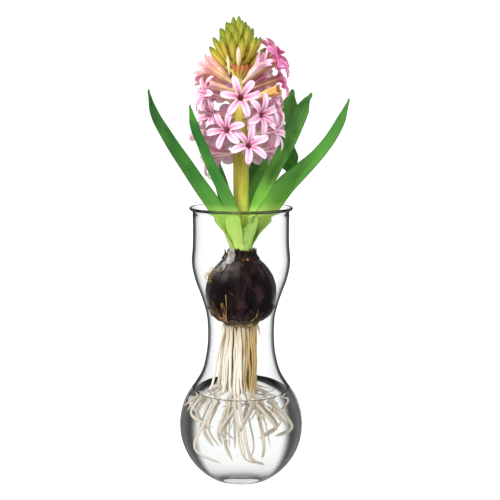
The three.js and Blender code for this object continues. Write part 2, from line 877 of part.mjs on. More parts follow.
// Bends each petal just far enough to stay clear of every other floret, leaf and bud.
function bentClear(florets, others) {
  const taken = others.map((solid) => ({ solid, box: solid.boundingBox(), owner: null }));
  const blocker = (solid, owner) => {
    const box = solid.boundingBox();
    return taken.find(
      (t) => t.owner !== owner && boxesMeet(box, t.box) && solid.minGap(t.solid, GAP) < GAP * 0.99,
    );
  };
  const take = (solid, owner) => taken.push({ solid, box: solid.boundingBox(), owner });
  for (const floret of florets) {
    const tube = looseTube(floret);
    const near = blocker(tube, floret);
    if (near) console.warn(`${floret.name} is less than ${GAP} mm from ${near.owner?.name ?? "stalk or leaf"}`);
    take(tube, floret);
  }
  const bends = petalBends();
  for (const floret of florets) {
    floret.petals.forEach((natural, k) => {
      const found = bends.some(({ keep, curl, swing }) => {
        floret.petals[k] = {
          lift: natural.lift,
          curl: Math.max(0, natural.curl + THREE.MathUtils.degToRad(curl)),
          swing: natural.swing + THREE.MathUtils.degToRad(swing),
          length: natural.length * keep,
        };
        const petal = loosePetal(floret, k);
        if (blocker(petal, floret)) return false;
        take(petal, floret);
        return true;
      });
      if (!found) console.warn(`${floret.name}: petal ${k} found no room`);
    });
  }
}

function material(color, roughness, extra = {}) {
  return new THREE.MeshStandardMaterial({ color, roughness, metalness: 0, ...extra });
}

const MATERIALS = {
  glass: material(0xe4efec, 0.05, { transparent: true, opacity: 0.3 }),
  water: material(0xdfe9e6, 0.03, { transparent: true, opacity: 0.25 }),
  bulbSkin: material(0x2b1a22, 0.55),
  root: material(0xe6dcc0, 0.6),
  stalk: material(0xa9b13c, 0.5),
  leaf: material(0x3f8f3a, 0.45),
  petal: material(0xe79ac4, 0.5),
  youngPetal: material(0xe8c07c, 0.5),
};

const plant = new THREE.Group();

function place(name, geometry, finish) {
  const mesh = new THREE.Mesh(geometry, finish);
  mesh.name = name;
  plant.add(mesh);
  return mesh;
}

place("glass_vase", glassVase(), MATERIALS.glass);
place("water", water(), MATERIALS.water);
place("roots", roots(), MATERIALS.root);
place("bulb", bulb(), MATERIALS.bulbSkin);

const stalkGeometry = stalk();
place("flower_stalk", stalkGeometry, MATERIALS.stalk);

const leafSolids = Object.entries(LEAVES).map(([name, spec]) => {
  const geometry = leaf(spec);
  place(name, geometry, MATERIALS.leaf);
  return toSolid(geometry);
});

const florets = plannedFlorets();
bentClear(florets, [toSolid(stalkGeometry), ...leafSolids]);
for (const floret of florets) {
  const finish = floret.open > 0.25 ? MATERIALS.petal : MATERIALS.youngPetal;
  place(floret.name, floretSkin(floret), finish);
}

export default plant;
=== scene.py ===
import math

import bmesh
import bpy
import numpy as np
from mathutils import Matrix, Vector, noise


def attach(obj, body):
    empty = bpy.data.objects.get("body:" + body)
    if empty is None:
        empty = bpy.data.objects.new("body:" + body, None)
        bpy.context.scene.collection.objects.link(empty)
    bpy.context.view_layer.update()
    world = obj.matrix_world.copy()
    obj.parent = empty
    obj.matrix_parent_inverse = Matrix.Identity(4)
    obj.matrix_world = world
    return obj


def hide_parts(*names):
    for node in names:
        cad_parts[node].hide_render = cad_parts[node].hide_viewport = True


# The hyacinth in its bulb glass: each node of the CAD model is replaced by a finer piece of the same form.
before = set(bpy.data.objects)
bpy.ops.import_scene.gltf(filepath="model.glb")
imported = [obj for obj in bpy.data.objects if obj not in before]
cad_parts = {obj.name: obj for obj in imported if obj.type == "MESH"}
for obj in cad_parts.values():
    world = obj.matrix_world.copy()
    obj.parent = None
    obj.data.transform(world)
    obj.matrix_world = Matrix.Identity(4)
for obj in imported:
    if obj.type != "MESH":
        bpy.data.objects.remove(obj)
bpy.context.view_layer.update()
scene = bpy.context.scene

mm = 0.001          # the plant is drawn in millimetres, and each piece is brought to metres at the end
fullTurn = 2 * math.pi
goldenAngle = 2.39996
mergeWithin = 1e-4

# The camera looks slightly down, level with the leaves, and the floor runs out to white behind.
studio = {
    "cameraPlace": (0, -0.72, 0.286),
    "cameraPitch": 82.2,
    "lens": 64.8,
    "sensor": 36,
    "shift": 9 / 500,
    "nearest": 0.02,
    "floorRadius": 0.2,
    "floorColour": "#f8f8f6",
    "ambient": 0.62,            # strength of the sky's soft light
    "mirrored": (0.05, 0.5),    # the sky as it is reflected: in front, and to the sides and beyond
    "beside": (0.3, 0.75),      # depths of the direction between which the one turns into the other
    "outline": 0.1,             # share of that in what is reflected at a very flat angle
    "beyond": (0.72, 0.9),      # depths between which that share sets in
    "backdrop": 1.2,            # the sky's bright walls, seen through glass
    "dark": 0.08,               # the unlit gaps between them
    "gap": (0.68, 0.92),        # where the gaps start and are full, as the sine of twice the direction
    "lamps": [
        # place, size, watts, colour
        ((-0.65, -0.85, 1.0), 0.4, 19, "#fffaf2"),
        ((0.9, -0.5, 0.75), 0.5, 6.5, "#f4f8ff"),
        ((0.1, 0.9, 1.2), 0.8, 9, "#ffffff"),
    ],
    "aim": (0, 0, 0.2),
}


def scatter(n):
    # The same number from 0 to 1 for each n, without a pattern.
    x = math.sin(n * 12.9898) * 43758.5453
    return x - math.floor(x)


def wave(x, y, z):
    # Smooth noise from -1 to 1, the same each time.
    return noise.noise(Vector((x, y, z)))


def lerp(a, b, t):
    return a + (b - a) * t


def ease(low, high, x):
    t = min(1, max(0, (x - low) / (high - low)))
    return t * t * (3 - 2 * t)


def polar(radius, angle, height):
    return Vector((radius * math.cos(angle), radius * math.sin(angle), height))


def fromFront(degrees):
    # The angle of a direction given in degrees from the front.
    return math.radians(degrees - 90)


def stepAt(stops, x):
    # Value at x on a list of (x, value) pairs, joined by straight lines.
    return float(np.interp(x, [s[0] for s in stops], [s[1] for s in stops]))


def curveThrough(rows, knots, at):
    # A smooth curve through rows of numbers, each given at its knot, read at several places.
    rows, knots, at = (np.array(a, float) for a in (rows, knots, at))
    slopes = np.gradient(rows, knots, axis=0)
    i = np.clip(np.searchsorted(knots, at) - 1, 0, len(knots) - 2)
    gap = (knots[i + 1] - knots[i])[:, None]
    t = (at - knots[i])[:, None] / gap
    start = (1 + 2 * t) * (1 - t) ** 2 * rows[i] + t * (1 - t) ** 2 * gap * slopes[i]
    end = t * t * (3 - 2 * t) * rows[i + 1] + t * t * (t - 1) * gap * slopes[i + 1]
    return start + end


def distancesAlong(points):
    steps = [(Vector(b) - Vector(a)).length for a, b in zip(points, points[1:])]
    return np.concatenate([[0], np.cumsum(steps)])


def smoothLine(points, count):
    # Evenly spaced points on the smooth line through a few.
    knots = distancesAlong(points)
    fine = curveThrough(points, knots, np.linspace(0, knots[-1], 8 * count))
    along = distancesAlong(fine)
    places = np.linspace(0, along[-1], count)
    return [Vector(p) for p in zip(*(np.interp(places, along, fine[:, axis]) for axis in range(3)))]


def profileLine(pairs, count):
    # The same for pairs of radius and height.
    return smoothLine([(radius, 0, height) for radius, height in pairs], count)


def carriedFrames(line):
    # Two directions across the line at each point, which follow it without twisting.
    last = len(line) - 1
    frames = []
    across = None
    for i in range(last + 1):
        along = (line[min(i + 1, last)] - line[max(i - 1, 0)]).normalized()
        across = along.orthogonal() if across is None else across
        across = (across - along * across.dot(along)).normalized()
        frames.append((across, along.cross(across)))
    return frames


def newMesh():
    bm = bmesh.new()
    bm.loops.layers.uv.new("UVMap")
    return bm


def drape(bm, across, along, place, material=0):
    # A flat sheet of faces with its UV map, bent to its place point by point.
    made = bmesh.ops.create_grid(bm, x_segments=across, y_segments=along, size=0.5, calc_uvs=True)["verts"]
    faces = {face for vert in made for face in vert.link_faces}
    for vert in made:
        vert.co = place(vert.co.x + 0.5, vert.co.y + 0.5)
    for face in faces:
        face.material_index = material


def tube(bm, line, radii, sides, material=0, shape=None):
    # A tube along a line, with a radius for each of its points. Shape changes the radius round the tube.
    frames = carriedFrames(line)
    last = len(line) - 1

    def place(u, v):
        i = round(v * last)
        angle = fullTurn * u
        radius = radii[i] * (shape(u % 1, v) if shape else 1)
        return line[i] + (frames[i][0] * math.cos(angle) + frames[i][1] * math.sin(angle)) * radius

    drape(bm, sides, last, place, material)


def tapered(radius, taper, count, power=1):
    # Radii that lose a share of themselves towards the end.
    return [radius * (1 - taper * (i / (count - 1)) ** power) for i in range(count)]


def crowded(count, power):
    # Shares from 0 to 1 that lie closer together towards 1.
    return [1 - (1 - share) ** power for share in np.linspace(0, 1, count)]


def spinRound(bm, geometry, steps):
    bmesh.ops.spin(bm, geom=geometry, cent=(0, 0, 0), axis=(0, 0, 1), angle=fullTurn, steps=steps,
                   use_merge=True)
    bmesh.ops.remove_doubles(bm, verts=bm.verts, dist=0.005)
    bmesh.ops.recalc_face_normals(bm, faces=bm.faces)


def spinProfile(bm, profile, steps):
    verts = [bm.verts.new(p) for p in profile]
    spinRound(bm, verts + [bm.edges.new(pair) for pair in zip(verts, verts[1:])], steps)


def makePiece(name, bm, materials, nodes=(), thickness=0, smoothing=0):
    bmesh.ops.remove_doubles(bm, verts=bm.verts, dist=mergeWithin)
    bmesh.ops.scale(bm, vec=(mm, mm, mm), verts=bm.verts)
    for face in bm.faces:
        face.smooth = True
    mesh = bpy.data.meshes.new(name)
    bm.to_mesh(mesh)
    bm.free()
    piece = bpy.data.objects.new(name, mesh)
    scene.collection.objects.link(piece)
    for material in materials:
        mesh.materials.append(material)
    if thickness:
        wall = piece.modifiers.new("wall", "SOLIDIFY")
        wall.thickness = thickness * mm
        wall.offset = 0
    if smoothing:
        finer = piece.modifiers.new("smooth", "SUBSURF")
        finer.levels = finer.render_levels = smoothing
    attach(piece, "root")
    if nodes:
        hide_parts(*nodes)
    return piece


def mergedCopy(name):
    # A CAD node's corners, joined up again and in millimetres.
    bm = bmesh.new()
    bm.from_mesh(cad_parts[name].data)
    bmesh.ops.scale(bm, vec=(1 / mm, 1 / mm, 1 / mm), verts=bm.verts)
    bmesh.ops.remove_doubles(bm, verts=bm.verts, dist=2e-3)
    return bm


def tint(text, alpha=1):
    # A colour given as #rrggbb, in linear light.
    channels = [int(text[i:i + 2], 16) / 255 for i in (1, 3, 5)]
    return (*(c / 12.92 if c < 0.04045 else ((c + 0.055) / 1.055) ** 2.4 for c in channels), alpha)


def fill(socket, value):
    # A socket takes a number, or a colour as its numbers or its text.
    socket.default_value = tint(value) if isinstance(value, str) else value


objectSpace, uvSpace = 3, 2     # outputs of the Texture Coordinate node
evenly = (1, 1, 1)


class Nodes:
    # A few short ways to add nodes to a material or a world. Each gives back an output of its last node.
    def __init__(self, tree):
        self.tree = tree

    def add(self, kind, inputs, output=0, **settings):
        made = self.tree.nodes.new("ShaderNode" + kind)
        for setting, value in settings.items():
            setattr(made, setting, value)
        for socket, value in inputs.items():
            if isinstance(value, bpy.types.NodeSocket):
                self.tree.links.new(value, made.inputs[socket])
            else:
                fill(made.inputs[socket], value)
        return made.outputs if output is None else made.outputs[output]

    def maths(self, operation, a, b=0.0):
        return self.add("Math", {0: a, 1: b}, operation=operation)

    def times(self, a, b):
        return self.maths("MULTIPLY", a, b)

    def spread(self, value, low, high, start=0.0, end=1.0):
        # Eases from start to end as value goes from low to high.
        inputs = {0: value, 1: low, 2: high, 3: start, 4: end}
        return self.add("MapRange", inputs, interpolation_type="SMOOTHSTEP")

    def blend(self, factor, a, b):
        return self.add("Mix", {0: factor, 6: a, 7: b}, output=2, data_type="RGBA")

    def lay(self, colour, base, pattern, low, high, share=1.0):
        # Lays a colour over another where the pattern rises from low to high.
        return self.blend(self.spread(pattern, low, high, 0, share), base, colour)

    def ramp(self, factor, stops):
        made = self.tree.nodes.new("ShaderNodeValToRGB")
        self.tree.links.new(factor, made.inputs[0])
        elements = made.color_ramp.elements
        while len(elements) < len(stops):
            elements.new(1)
        for element, (position, colour) in zip(elements, stops):
            element.position = position
            element.color = tint(colour)
        return made.outputs[0]

    def coordinates(self, space, stretch):
        return self.add("Mapping", {0: self.add("TexCoord", {}, space), 3: stretch})

    def axes(self, space):
        return self.add("SeparateXYZ", {0: self.coordinates(space, evenly)}, None)

    def mottle(self, space, stretch, scale, detail, roughness=0.5):
        inputs = {"Vector": self.coordinates(space, stretch), "Scale": scale, "Detail": detail}
        return self.add("TexNoise", {**inputs, "Roughness": roughness})


class Skin(Nodes):
    # A material made on its main shader.
    def __init__(self, name, sockets):
        self.material = bpy.data.materials.new(name)
        self.material.use_nodes = True
        super().__init__(self.material.node_tree)
        self.shader = self.tree.nodes["Principled BSDF"]
        for socket, value in sockets.items():
            fill(self.shader.inputs[socket], value)

    def bump(self, height, strength, distance=0.0003):
        normal = self.add("Bump", {"Strength": strength, "Distance": distance, "Height": height})
        self.tree.links.new(normal, self.shader.inputs["Normal"])

    def paint(self, colour):
        self.tree.links.new(colour, self.shader.inputs["Base Color"])


def living(name, roughness, glow, more=None):
    # Growth that light sinks into a little.
    sockets = {"Roughness": roughness, "Subsurface Weight": glow, "Subsurface Scale": 0.002}
    return Skin(name, {**sockets, **(more or {})})


print("loaded the frame:", len(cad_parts), "nodes")


def placeCamera():
    camera = bpy.data.objects.new("camera", bpy.data.cameras.new("camera"))
    camera.data.lens = studio["lens"]
    camera.data.sensor_width = studio["sensor"]
    camera.data.shift_x = studio["shift"]
    camera.data.clip_start = studio["nearest"]
    camera.location = studio["cameraPlace"]
    camera.rotation_euler = (math.radians(studio["cameraPitch"]), 0, 0)
    scene.collection.objects.link(camera)
    scene.camera = camera
    scene.view_settings.view_transform = "Standard"


def hangLamps():
    for i, (place, size, watts, colour) in enumerate(studio["lamps"]):
        lamp = bpy.data.lights.new(f"lamp{i}", "AREA")
        lamp.size = size
        lamp.energy = watts
        lamp.color = tint(colour)[:3]
        holder = bpy.data.objects.new(f"lamp{i}", lamp)
        holder.location = place
        holder.rotation_euler = (Vector(studio["aim"]) - Vector(place)).to_track_quat("-Z", "Y").to_euler()
        scene.collection.objects.link(holder)
        holder.visible_glossy = holder.visible_transmission = False


def putUpLightTent():
    # The camera sees plain white, and soft light comes evenly from all round. What is seen through glass has
    # bright walls with an unlit gap at both far corners, which draws the glass's edges.
    scene.world = bpy.data.worlds.new("studio")
    scene.world.use_nodes = True
    tent = Nodes(scene.world.node_tree)
    x, y, _ = tent.add("SeparateXYZ", {0: tent.add("TexCoord", {})}, None)
    flat = tent.maths("ADD", tent.times(x, x), tent.times(y, y))
    product = tent.times(tent.maths("ABSOLUTE", x), y)
    slant = tent.maths("DIVIDE", tent.times(product, 2), tent.maths("ADD", flat, 0.001))
    walls = tent.spread(slant, *studio["gap"], studio["backdrop"], studio["dark"])
    mirrored = tent.spread(y, *studio["beside"], *studio["mirrored"])
    reflected = tent.times(mirrored, tent.spread(y, *studio["beyond"], 1, studio["outline"]))
    rays = tent.add("LightPath", {}, None)
    glossy, diffuse = (tent.maths("MINIMUM", rays[depth], 1) for depth in ("Glossy Depth", "Diffuse Depth"))
    through = tent.add("Mix", {0: glossy, 2: walls, 3: reflected})
    unlit = tent.add("Mix", {0: diffuse, 2: through, 3: studio["ambient"]})
    sky = tent.tree.nodes["Background"]
    sky.inputs["Color"].default_value = (1, 1, 1, 1)
    tent.tree.links.new(tent.maths("MAXIMUM", unlit, rays["Is Camera Ray"]), sky.inputs["Strength"])


def layFloor():
    bm = bmesh.new()
    bmesh.ops.create_circle(bm, cap_ends=True, radius=studio["floorRadius"], segments=96)
    mesh = bpy.data.meshes.new("floor")
    bm.to_mesh(mesh)
    bm.free()
    floor = bpy.data.objects.new("floor", mesh)
    scene.collection.objects.link(floor)
    mesh.materials.append(Skin("floor", {"Roughness": 0.7, "Base Color": studio["floorColour"]}).material)
    floor.visible_glossy = floor.visible_transmission = False


placeCamera()
hangLamps()
putUpLightTent()
layFloor()
print("camera, lamps and floor are up")

# The blown glass: a round bowl on a flat foot, a waist, a funnel and a straight cup with a flared lip. An
# outline is pairs of radius and height.
glass = {
    "wall": 2.3,
    "floor": 9,
    "floorRound": 5,
    "floorBend": [(0.55, 0.4), (0.86, 2.4)],    # share of the way to the wall, rise there
    "foot": [(0, 0.35), (15, 0.3), (22.5, 0.02)],
    "bowlRadius": 50.5,
    "bowlMiddle": 43,
    "bowlTop": 75,
    "neck": [(32.6, 86), (28.3, 102), (27, 118), (27.8, 134), (32, 149.5), (37.6, 165.5), (39.8, 178),
             (38.9, 191), (38.7, 204), (38.7, 213)],
    "lip": [(38.75, 214), (38.8, 215), (38.75, 216), (38.7, 217), (38.8, 218.4), (39.6, 219.4), (41, 220.1),
            (41.6, 221), (41.5, 221.9), (41, 222.4), (40.5, 222.1), (40.2, 221.4), (39.5, 220.8),
            (38.4, 220.2), (37.6, 219.2), (36.9, 217.6), (36.5, 215.5)],
    "bowlRings": 26,
    "neckRings": 44,
    "floorRings": 9,
    "lipRings": 20,
    "sides": 128,
    "wobble": 0.22,             # unevenness of the blown wall
    "wobbleFrom": (1, 12),      # heights between which it sets in
    "refraction": 1.33,
    "colour": "#6f9a90",
    "density": 6,
}
waterTop = 73.3


def glassOutside():
    low = math.asin(-glass["bowlMiddle"] / glass["bowlRadius"])
    high = math.asin((glass["bowlTop"] - glass["bowlMiddle"]) / glass["bowlRadius"])
    bowl = [(glass["bowlRadius"] * math.cos(a), glass["bowlMiddle"] + glass["bowlRadius"] * math.sin(a))
            for a in np.linspace(low, high, glass["bowlRings"])]
    neck = profileLine([bowl[-1], *glass["neck"]], glass["neckRings"])
    return [Vector((r, 0, z)) for r, z in bowl] + neck[1:]


def glassInside(inset):
    outside = glassOutside()
    floorHeight = glass["floor"] + inset - glass["wall"]
    wall = []
    for i, point in enumerate(outside):
        along = (outside[min(i + 1, len(outside) - 1)] - outside[max(i - 1, 0)]).normalized()
        wall.append(Vector((point.x - along.z * inset, 0, point.z + along.x * inset)))
    rising = [p for p in wall if p.z > floorHeight + glass["floorRound"]]
    edge = rising[0].x
    bend = [(edge * share, floorHeight + rise) for share, rise in glass["floorBend"]]
    bottom = profileLine([(0.01, floorHeight), *bend, (edge, rising[0].z)], glass["floorRings"])
    return bottom[:-1] + rising


def glassMesh():
    bm = newMesh()
    foot = [Vector((r, 0, z)) for r, z in glass["foot"]]
    inside = glassInside(glass["wall"])
    inside[0].x = 0
    lip = profileLine(glass["lip"], glass["lipRings"])
    spinProfile(bm, [*foot, *glassOutside(), *lip, *reversed(inside)], glass["sides"])
    for vert in bm.verts:
        uneven = wave(vert.co.x * 0.02, vert.co.y * 0.02, vert.co.z * 0.11)
        flat = Vector((vert.co.x, vert.co.y, 0))
        rise = ease(*glass["wobbleFrom"], vert.co.z)
        vert.co -= flat.normalized() * abs(uneven) * glass["wobble"] * rise
    return bm


def clearMaterial(name, look):
    # Clear, with a colour that deepens through its thickness.
    skin = Skin(name, {
        "Base Color": (1, 1, 1, 1), "Roughness": 0.0, "IOR": look["refraction"], "Transmission Weight": 1.0,
    })
    depth = skin.add("VolumeAbsorption", {"Color": look["colour"], "Density": look["density"]})
    skin.tree.links.new(depth, skin.tree.nodes["Material Output"].inputs["Volume"])
    return skin.material


def letLightThrough(piece):
    piece.visible_shadow = piece.visible_diffuse = False


clearGlass = clearMaterial("clearGlass", glass)
letLightThrough(makePiece("glassVase", glassMesh(), [clearGlass], ["glass_vase"]))

# Water up to its line, with the skin drawn up where it meets the glass, and a dark ring of painted shade
# there for the dark line that the meniscus draws by refraction.
water = {
    "intoGlass": 0.06,
    "climb": 0.3,
    "lift": 0.27,
    "liftWidth": 0.315,
    "fromRim": (0.25, 0.8, 1.7, 3, 5),
    "innerRings": (30, 20, 10, 0),
    "sides": 96,
    # The ring of painted shade: its radius, inset, rise and sides.
    "line": 0.3,
    "lineInset": 0.35,
    "lineRise": 0.15,
    "lineSides": 128,
    "refraction": 1.333,
    "colour": "#dfe8e0",
    "density": 4,
}
waterWall = [p for p in glassInside(glass["wall"] - water["intoGlass"]) if p.z < waterTop + water["climb"]]
rimRadius = waterWall[-1].x


def waterMesh():
    bm = newMesh()
    surface = []
    for r in [*(rimRadius - inset for inset in water["fromRim"]), *water["innerRings"]]:
        lift = water["lift"] * math.exp((r - rimRadius) / water["liftWidth"])
        surface.append(Vector((r, 0, waterTop + lift)))
    waterWall[0].x = 0
    spinProfile(bm, waterWall + surface, water["sides"])
    return bm


def meniscusShadeMesh():
    bm = newMesh()
    middle = Matrix.Translation((rimRadius - water["lineInset"], 0, waterTop + water["lineRise"]))
    ring = middle @ Matrix.Rotation(math.pi / 2, 4, "X")
    bmesh.ops.create_circle(bm, segments=8, radius=water["line"], matrix=ring)
    spinRound(bm, bm.verts[:] + bm.edges[:], water["lineSides"])
    return bm


clearWater = clearMaterial("clearWater", water)
letLightThrough(makePiece("waterBody", waterMesh(), [clearWater], ["water"]))
# Painted shade: a dark, half-clear ring for the meniscus's dark line.
meniscusShadeSkin = Skin("meniscusShade", {"Roughness": 0.3, "Alpha": 0.85, "Base Color": "#3a3b38"})
makePiece("meniscusShade", meniscusShadeMesh(), [meniscusShadeSkin.material])
print("glass and water are done")

# Leaves: each blade follows the twelve rows of its CAD node, with a keel, a channel and a hooded tip.
leafStyle = {
    "rows": 64,
    "columns": 12,
    "thickness": 1.15,
    "crowding": 1.12,       # power that draws rows and rings together towards a tip
    "keel": 1.5,            # power of the channel's curve: 2 is round, 1 a sharp fold
    "waver": 0.035,
    "waverFrom": (0.1, 0.3),    # shares of the length between which it sets in
    "buckle": 0.5,
    "buckleFrom": (0.2, 0.5),
    "tipShare": 0.1,        # share of the length in which the tip rounds off
    "tipWidth": 0.55,       # of the last full row's width
    "tipPower": 2.2,
    "blunt": 0.012,
    "hood": 0.6,
}


def leafStations(name):
    # The node's rows from the foot: middle, directions across and to the hollow side, half-width, depth.
    bm = mergedCopy(name)
    bm.verts.index_update()
    lowest = min(v.co.z for v in bm.verts)
    layer = {v for v in bm.verts if v.co.z < lowest + 0.05}
    seen = set(layer)
    stations = []
    while layer:
        points = np.array([v.co for v in sorted(layer, key=lambda v: v.index)])
        mean = points.mean(0)
        axes = np.linalg.svd(points - mean)[2]
        across, hollow = axes[0], axes[1]
        a = (points - mean) @ across
        d = (points - mean) @ hollow
        order = np.argsort(np.abs(a - (a.max() + a.min()) / 2))
        inner, outer = order[:2], order[-4:]
        half = (a.max() - a.min()) / 2
        depth = d[outer].mean() - d[inner].mean()
        if depth < 0:
            hollow, depth = -hollow, -depth
        # Each row runs the same way as the one before it, and the first one anticlockwise round the stalk.
        before = stations[-1][3:6] if stations else np.cross(hollow, (0, 0, 1))
        if np.dot(across, before) < 0:
            across = -across
        stations.append([*points[inner].mean(0), *across, *hollow, half, depth])
        layer = {e.other_vert(v) for v in layer for e in v.link_edges} - seen
        seen |= layer
    bm.free()
    return np.array(stations)


def strapPoint(row, x, depth):
    across, hollow = Vector(row[3:6]).normalized(), Vector(row[6:9])
    hollow = (hollow - across * hollow.dot(across)).normalized()
    return Vector(row[:3]) + across * row[9] * x + hollow * depth


def leafMesh(name, index):
    bm = newMesh()
    last = leafStyle["rows"]
    stations = leafStations(name)
    knots = distancesAlong([tuple(s[:3]) for s in stations])
    at = crowded(last + 1, leafStyle["crowding"])
    rows = curveThrough(stations, knots / knots[-1], at)

    def place(u, v):
        i = round(v * last)
        share = at[i]
        row = rows[i].copy()
        x = 2 * u - 1
        tip = max(0, (share + leafStyle["tipShare"] - 1) / leafStyle["tipShare"])
        if tip:
            narrowed = lerp(row[9], stations[-2][9] * leafStyle["tipWidth"], min(1, tip * 1.4))
            row[9] = narrowed * math.sqrt(max(leafStyle["blunt"], 1 - tip ** leafStyle["tipPower"]))
        waver = wave(share * 7, index * 3.1, 5 if x > 0 else 10)
        row[9] *= 1 + leafStyle["waver"] * waver * ease(*leafStyle["waverFrom"], share) * abs(x)
        depth = row[10] * (abs(x) ** leafStyle["keel"]) * (1 + leafStyle["hood"] * tip)
        buckle = wave(share * 4, x * 0.8, index * 2.3) * ease(*leafStyle["buckleFrom"], share)
        depth += leafStyle["buckle"] * buckle
        return strapPoint(row, x, depth)

    drape(bm, leafStyle["columns"], last, place)
    return bm


def leafMaterial():
    # Pale at the foot and dark at the tip, a lighter green at the right than at the left, and painted shade
    # along the margins.
    skin = living("leafSkin", 0.42, 0.06, {"Specular IOR Level": 0.35})
    x, _, height = skin.axes(objectSpace)
    level = skin.add("MapRange", {0: height, 1: 0.178, 2: 0.35})
    shady = skin.ramp(level, [(0, "#c0dc7c"), (0.14, "#b4d66e"), (0.235, "#9cc95a"), (0.275, "#58933a"),
                              (0.4, "#3b7d30"), (0.62, "#2b6729"), (1, "#225425")])
    sunny = skin.ramp(level, [(0, "#d6ee92"), (0.14, "#d2ea86"), (0.24, "#bfe070"), (0.275, "#7cbc44"),
                              (0.4, "#5a993e"), (0.62, "#4a8436"), (1, "#437634")])
    green = skin.lay(sunny, shady, x, 0.002, 0.022)
    streaks = skin.mottle(uvSpace, (9, 1.3, 1), 2.2, 4, 0.6)
    darker = skin.times(skin.spread(height, 0.22, 0.235, 0.15, 1),
                        skin.spread(streaks, 0.45, 0.72, 0, 0.5))
    shaded = skin.blend(darker, green, "#1d5a2b")
    lively = skin.lay("#5a9f36", shaded, skin.mottle(objectSpace, evenly, 45, 2), 0.5, 0.75, 0.4)
    # Painted shade: darker margins, for the dark creases where the blades overlap.
    fromMiddle = skin.maths("ABSOLUTE", skin.maths("SUBTRACT", skin.axes(uvSpace)[0], 0.5))
    skin.paint(skin.lay("#235222", lively, fromMiddle, 0.44, 0.5, 0.5))
    skin.bump(skin.mottle(uvSpace, (24, 0.4, 1), 1, 1), 0.25)
    return skin.material


leafSkin = leafMaterial()
leafNames = sorted(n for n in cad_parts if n.startswith("leaf_"))
for index, name in enumerate(leafNames):
    blade = leafMesh(name, index)
    makePiece("blade_" + name[5:], blade, [leafSkin], [name], leafStyle["thickness"], 1)

# Pale sheaths of the inner leaves close the ring round the stalk, with a notched edge behind the blades. The
# ring's half-widths come as pairs of height and half-width.
sheath = {
    "low": 183,
    "front": 204,
    "side": 213,
    "across": [(183, 7.6), (195, 10), (203, 12), (214, 14.4)],
    "deep": [(183, 6.8), (195, 7.3), (205, 7.8), (214, 8.4)],
    "notch": 2.5,
    "columns": 40,
    "rows": 16,
    "thickness": 0.9,
}


def sheathMesh():
    bm = newMesh()

    def place(u, v):
        angle = fullTurn * u
        notch = sheath["notch"] * wave(3 * math.cos(angle), 3 * math.sin(angle), 1)
        height = lerp(sheath["low"], lerp(sheath["front"], sheath["side"], abs(math.cos(angle))) + notch, v)
        return Vector((stepAt(sheath["across"], height) * math.cos(angle),
                       stepAt(sheath["deep"], height) * math.sin(angle), height))

    drape(bm, sheath["columns"], sheath["rows"], place)
    return bm


makePiece("leafSheath", sheathMesh(), [leafSkin], thickness=sheath["thickness"], smoothing=1)
print("leaves are done:", len(leafNames))

# Flower stalk, ribbed and leaning a little, with the closed buds of its tip. Its profile is pairs of height
# and radius.
stalk = {
    "profile": [(178.3, 3.9), (205, 4.6), (232, 6.1), (262, 6.3), (295, 5.6), (318, 4.6), (336, 3.6),
                (350, 2.4), (358, 0.9)],
    "rings": 60,
    "leanBetween": (255, 340),
    "leanBy": -3,
    "ribs": 9,
    "ribDepth": 0.035,
    "sides": 45,
}
# Closed buds in tiers. A stem leaves the stalk at rise, the angle above level, and the bud turns up to stand.
# Start is the first one's direction from the front, and arc the part of a turn filled.
budTiers = [
    # height, count, rise, stem, stand, length, radius, start, arc, finish
    (321, 5, 44, 8.5, 60, 8.5, 1.7, -22, 116, "red"),
    (326, 8, 34, 12, 48, 18.5, 2.9, 84, 222, "green"),
    (331, 11, 36, 12, 62, 18.5, 2.7, 16, 360, "green"),
    (336, 10, 44, 10.5, 72, 19.5, 2.7, 0, 360, "green"),
    (341, 7, 56, 8.5, 80, 19.5, 2.6, 24, 360, "green"),
    (345.5, 3, 76, 6.5, 86, 18.5, 2.5, 12, 360, "green"),
]
budFinishes = {"green": 0, "red": 1, "stem": 2, "pale": 3}
budStyle = {
    "stemRadius": 1.15,
    "stemSides": 8,
    "stemRings": 7,
    "start": 2,
    "sides": 12,
    "rings": 15,
    "crowding": 1.5,
    "profile": [(0, 0.42), (0.08, 0.66), (0.3, 0.84), (0.5, 0.98), (0.66, 1.02), (0.8, 0.84), (0.9, 0.56),
                (0.96, 0.32), (1, 0.04)],
    "lobes": 0.14,
    "aside": 0.3,           # unevenness of their places round the stalk, as a share of the room for each
    "nod": 6,               # and of how they stand, in degrees
}
# Paler ones between them: foot, tip and radius. The thinner one, left of the stalk, is a painted highlight
# along the stalk's lit left edge.
paleBuds = [((-2, -9, 332), (-2, -17, 347), 1.9), ((-9, -9.5, 326), (-10.5, -14.5, 341), 1.2)]
paleBudRings = 13


def leanAt(height):
    return stalk["leanBy"] * ease(*stalk["leanBetween"], height)


def outward(around, rise):
    level = polar(1, fromFront(around), 0)
    return level * math.cos(math.radians(rise)) + Vector((0, 0, math.sin(math.radians(rise))))


def stalkMesh():
    bm = newMesh()
    ends = (stalk["profile"][0][0], stalk["profile"][-1][0])
    line = smoothLine([(leanAt(z), 0, z) for z in np.linspace(*ends, 24)], stalk["rings"])
    radii = [stepAt(stalk["profile"], p.z) for p in line]
    radii[0] = radii[-1] = 0.01
    tube(bm, line, radii, stalk["sides"],
         shape=lambda u, v: 1 + stalk["ribDepth"] * math.cos(fullTurn * stalk["ribs"] * u))
    return bm


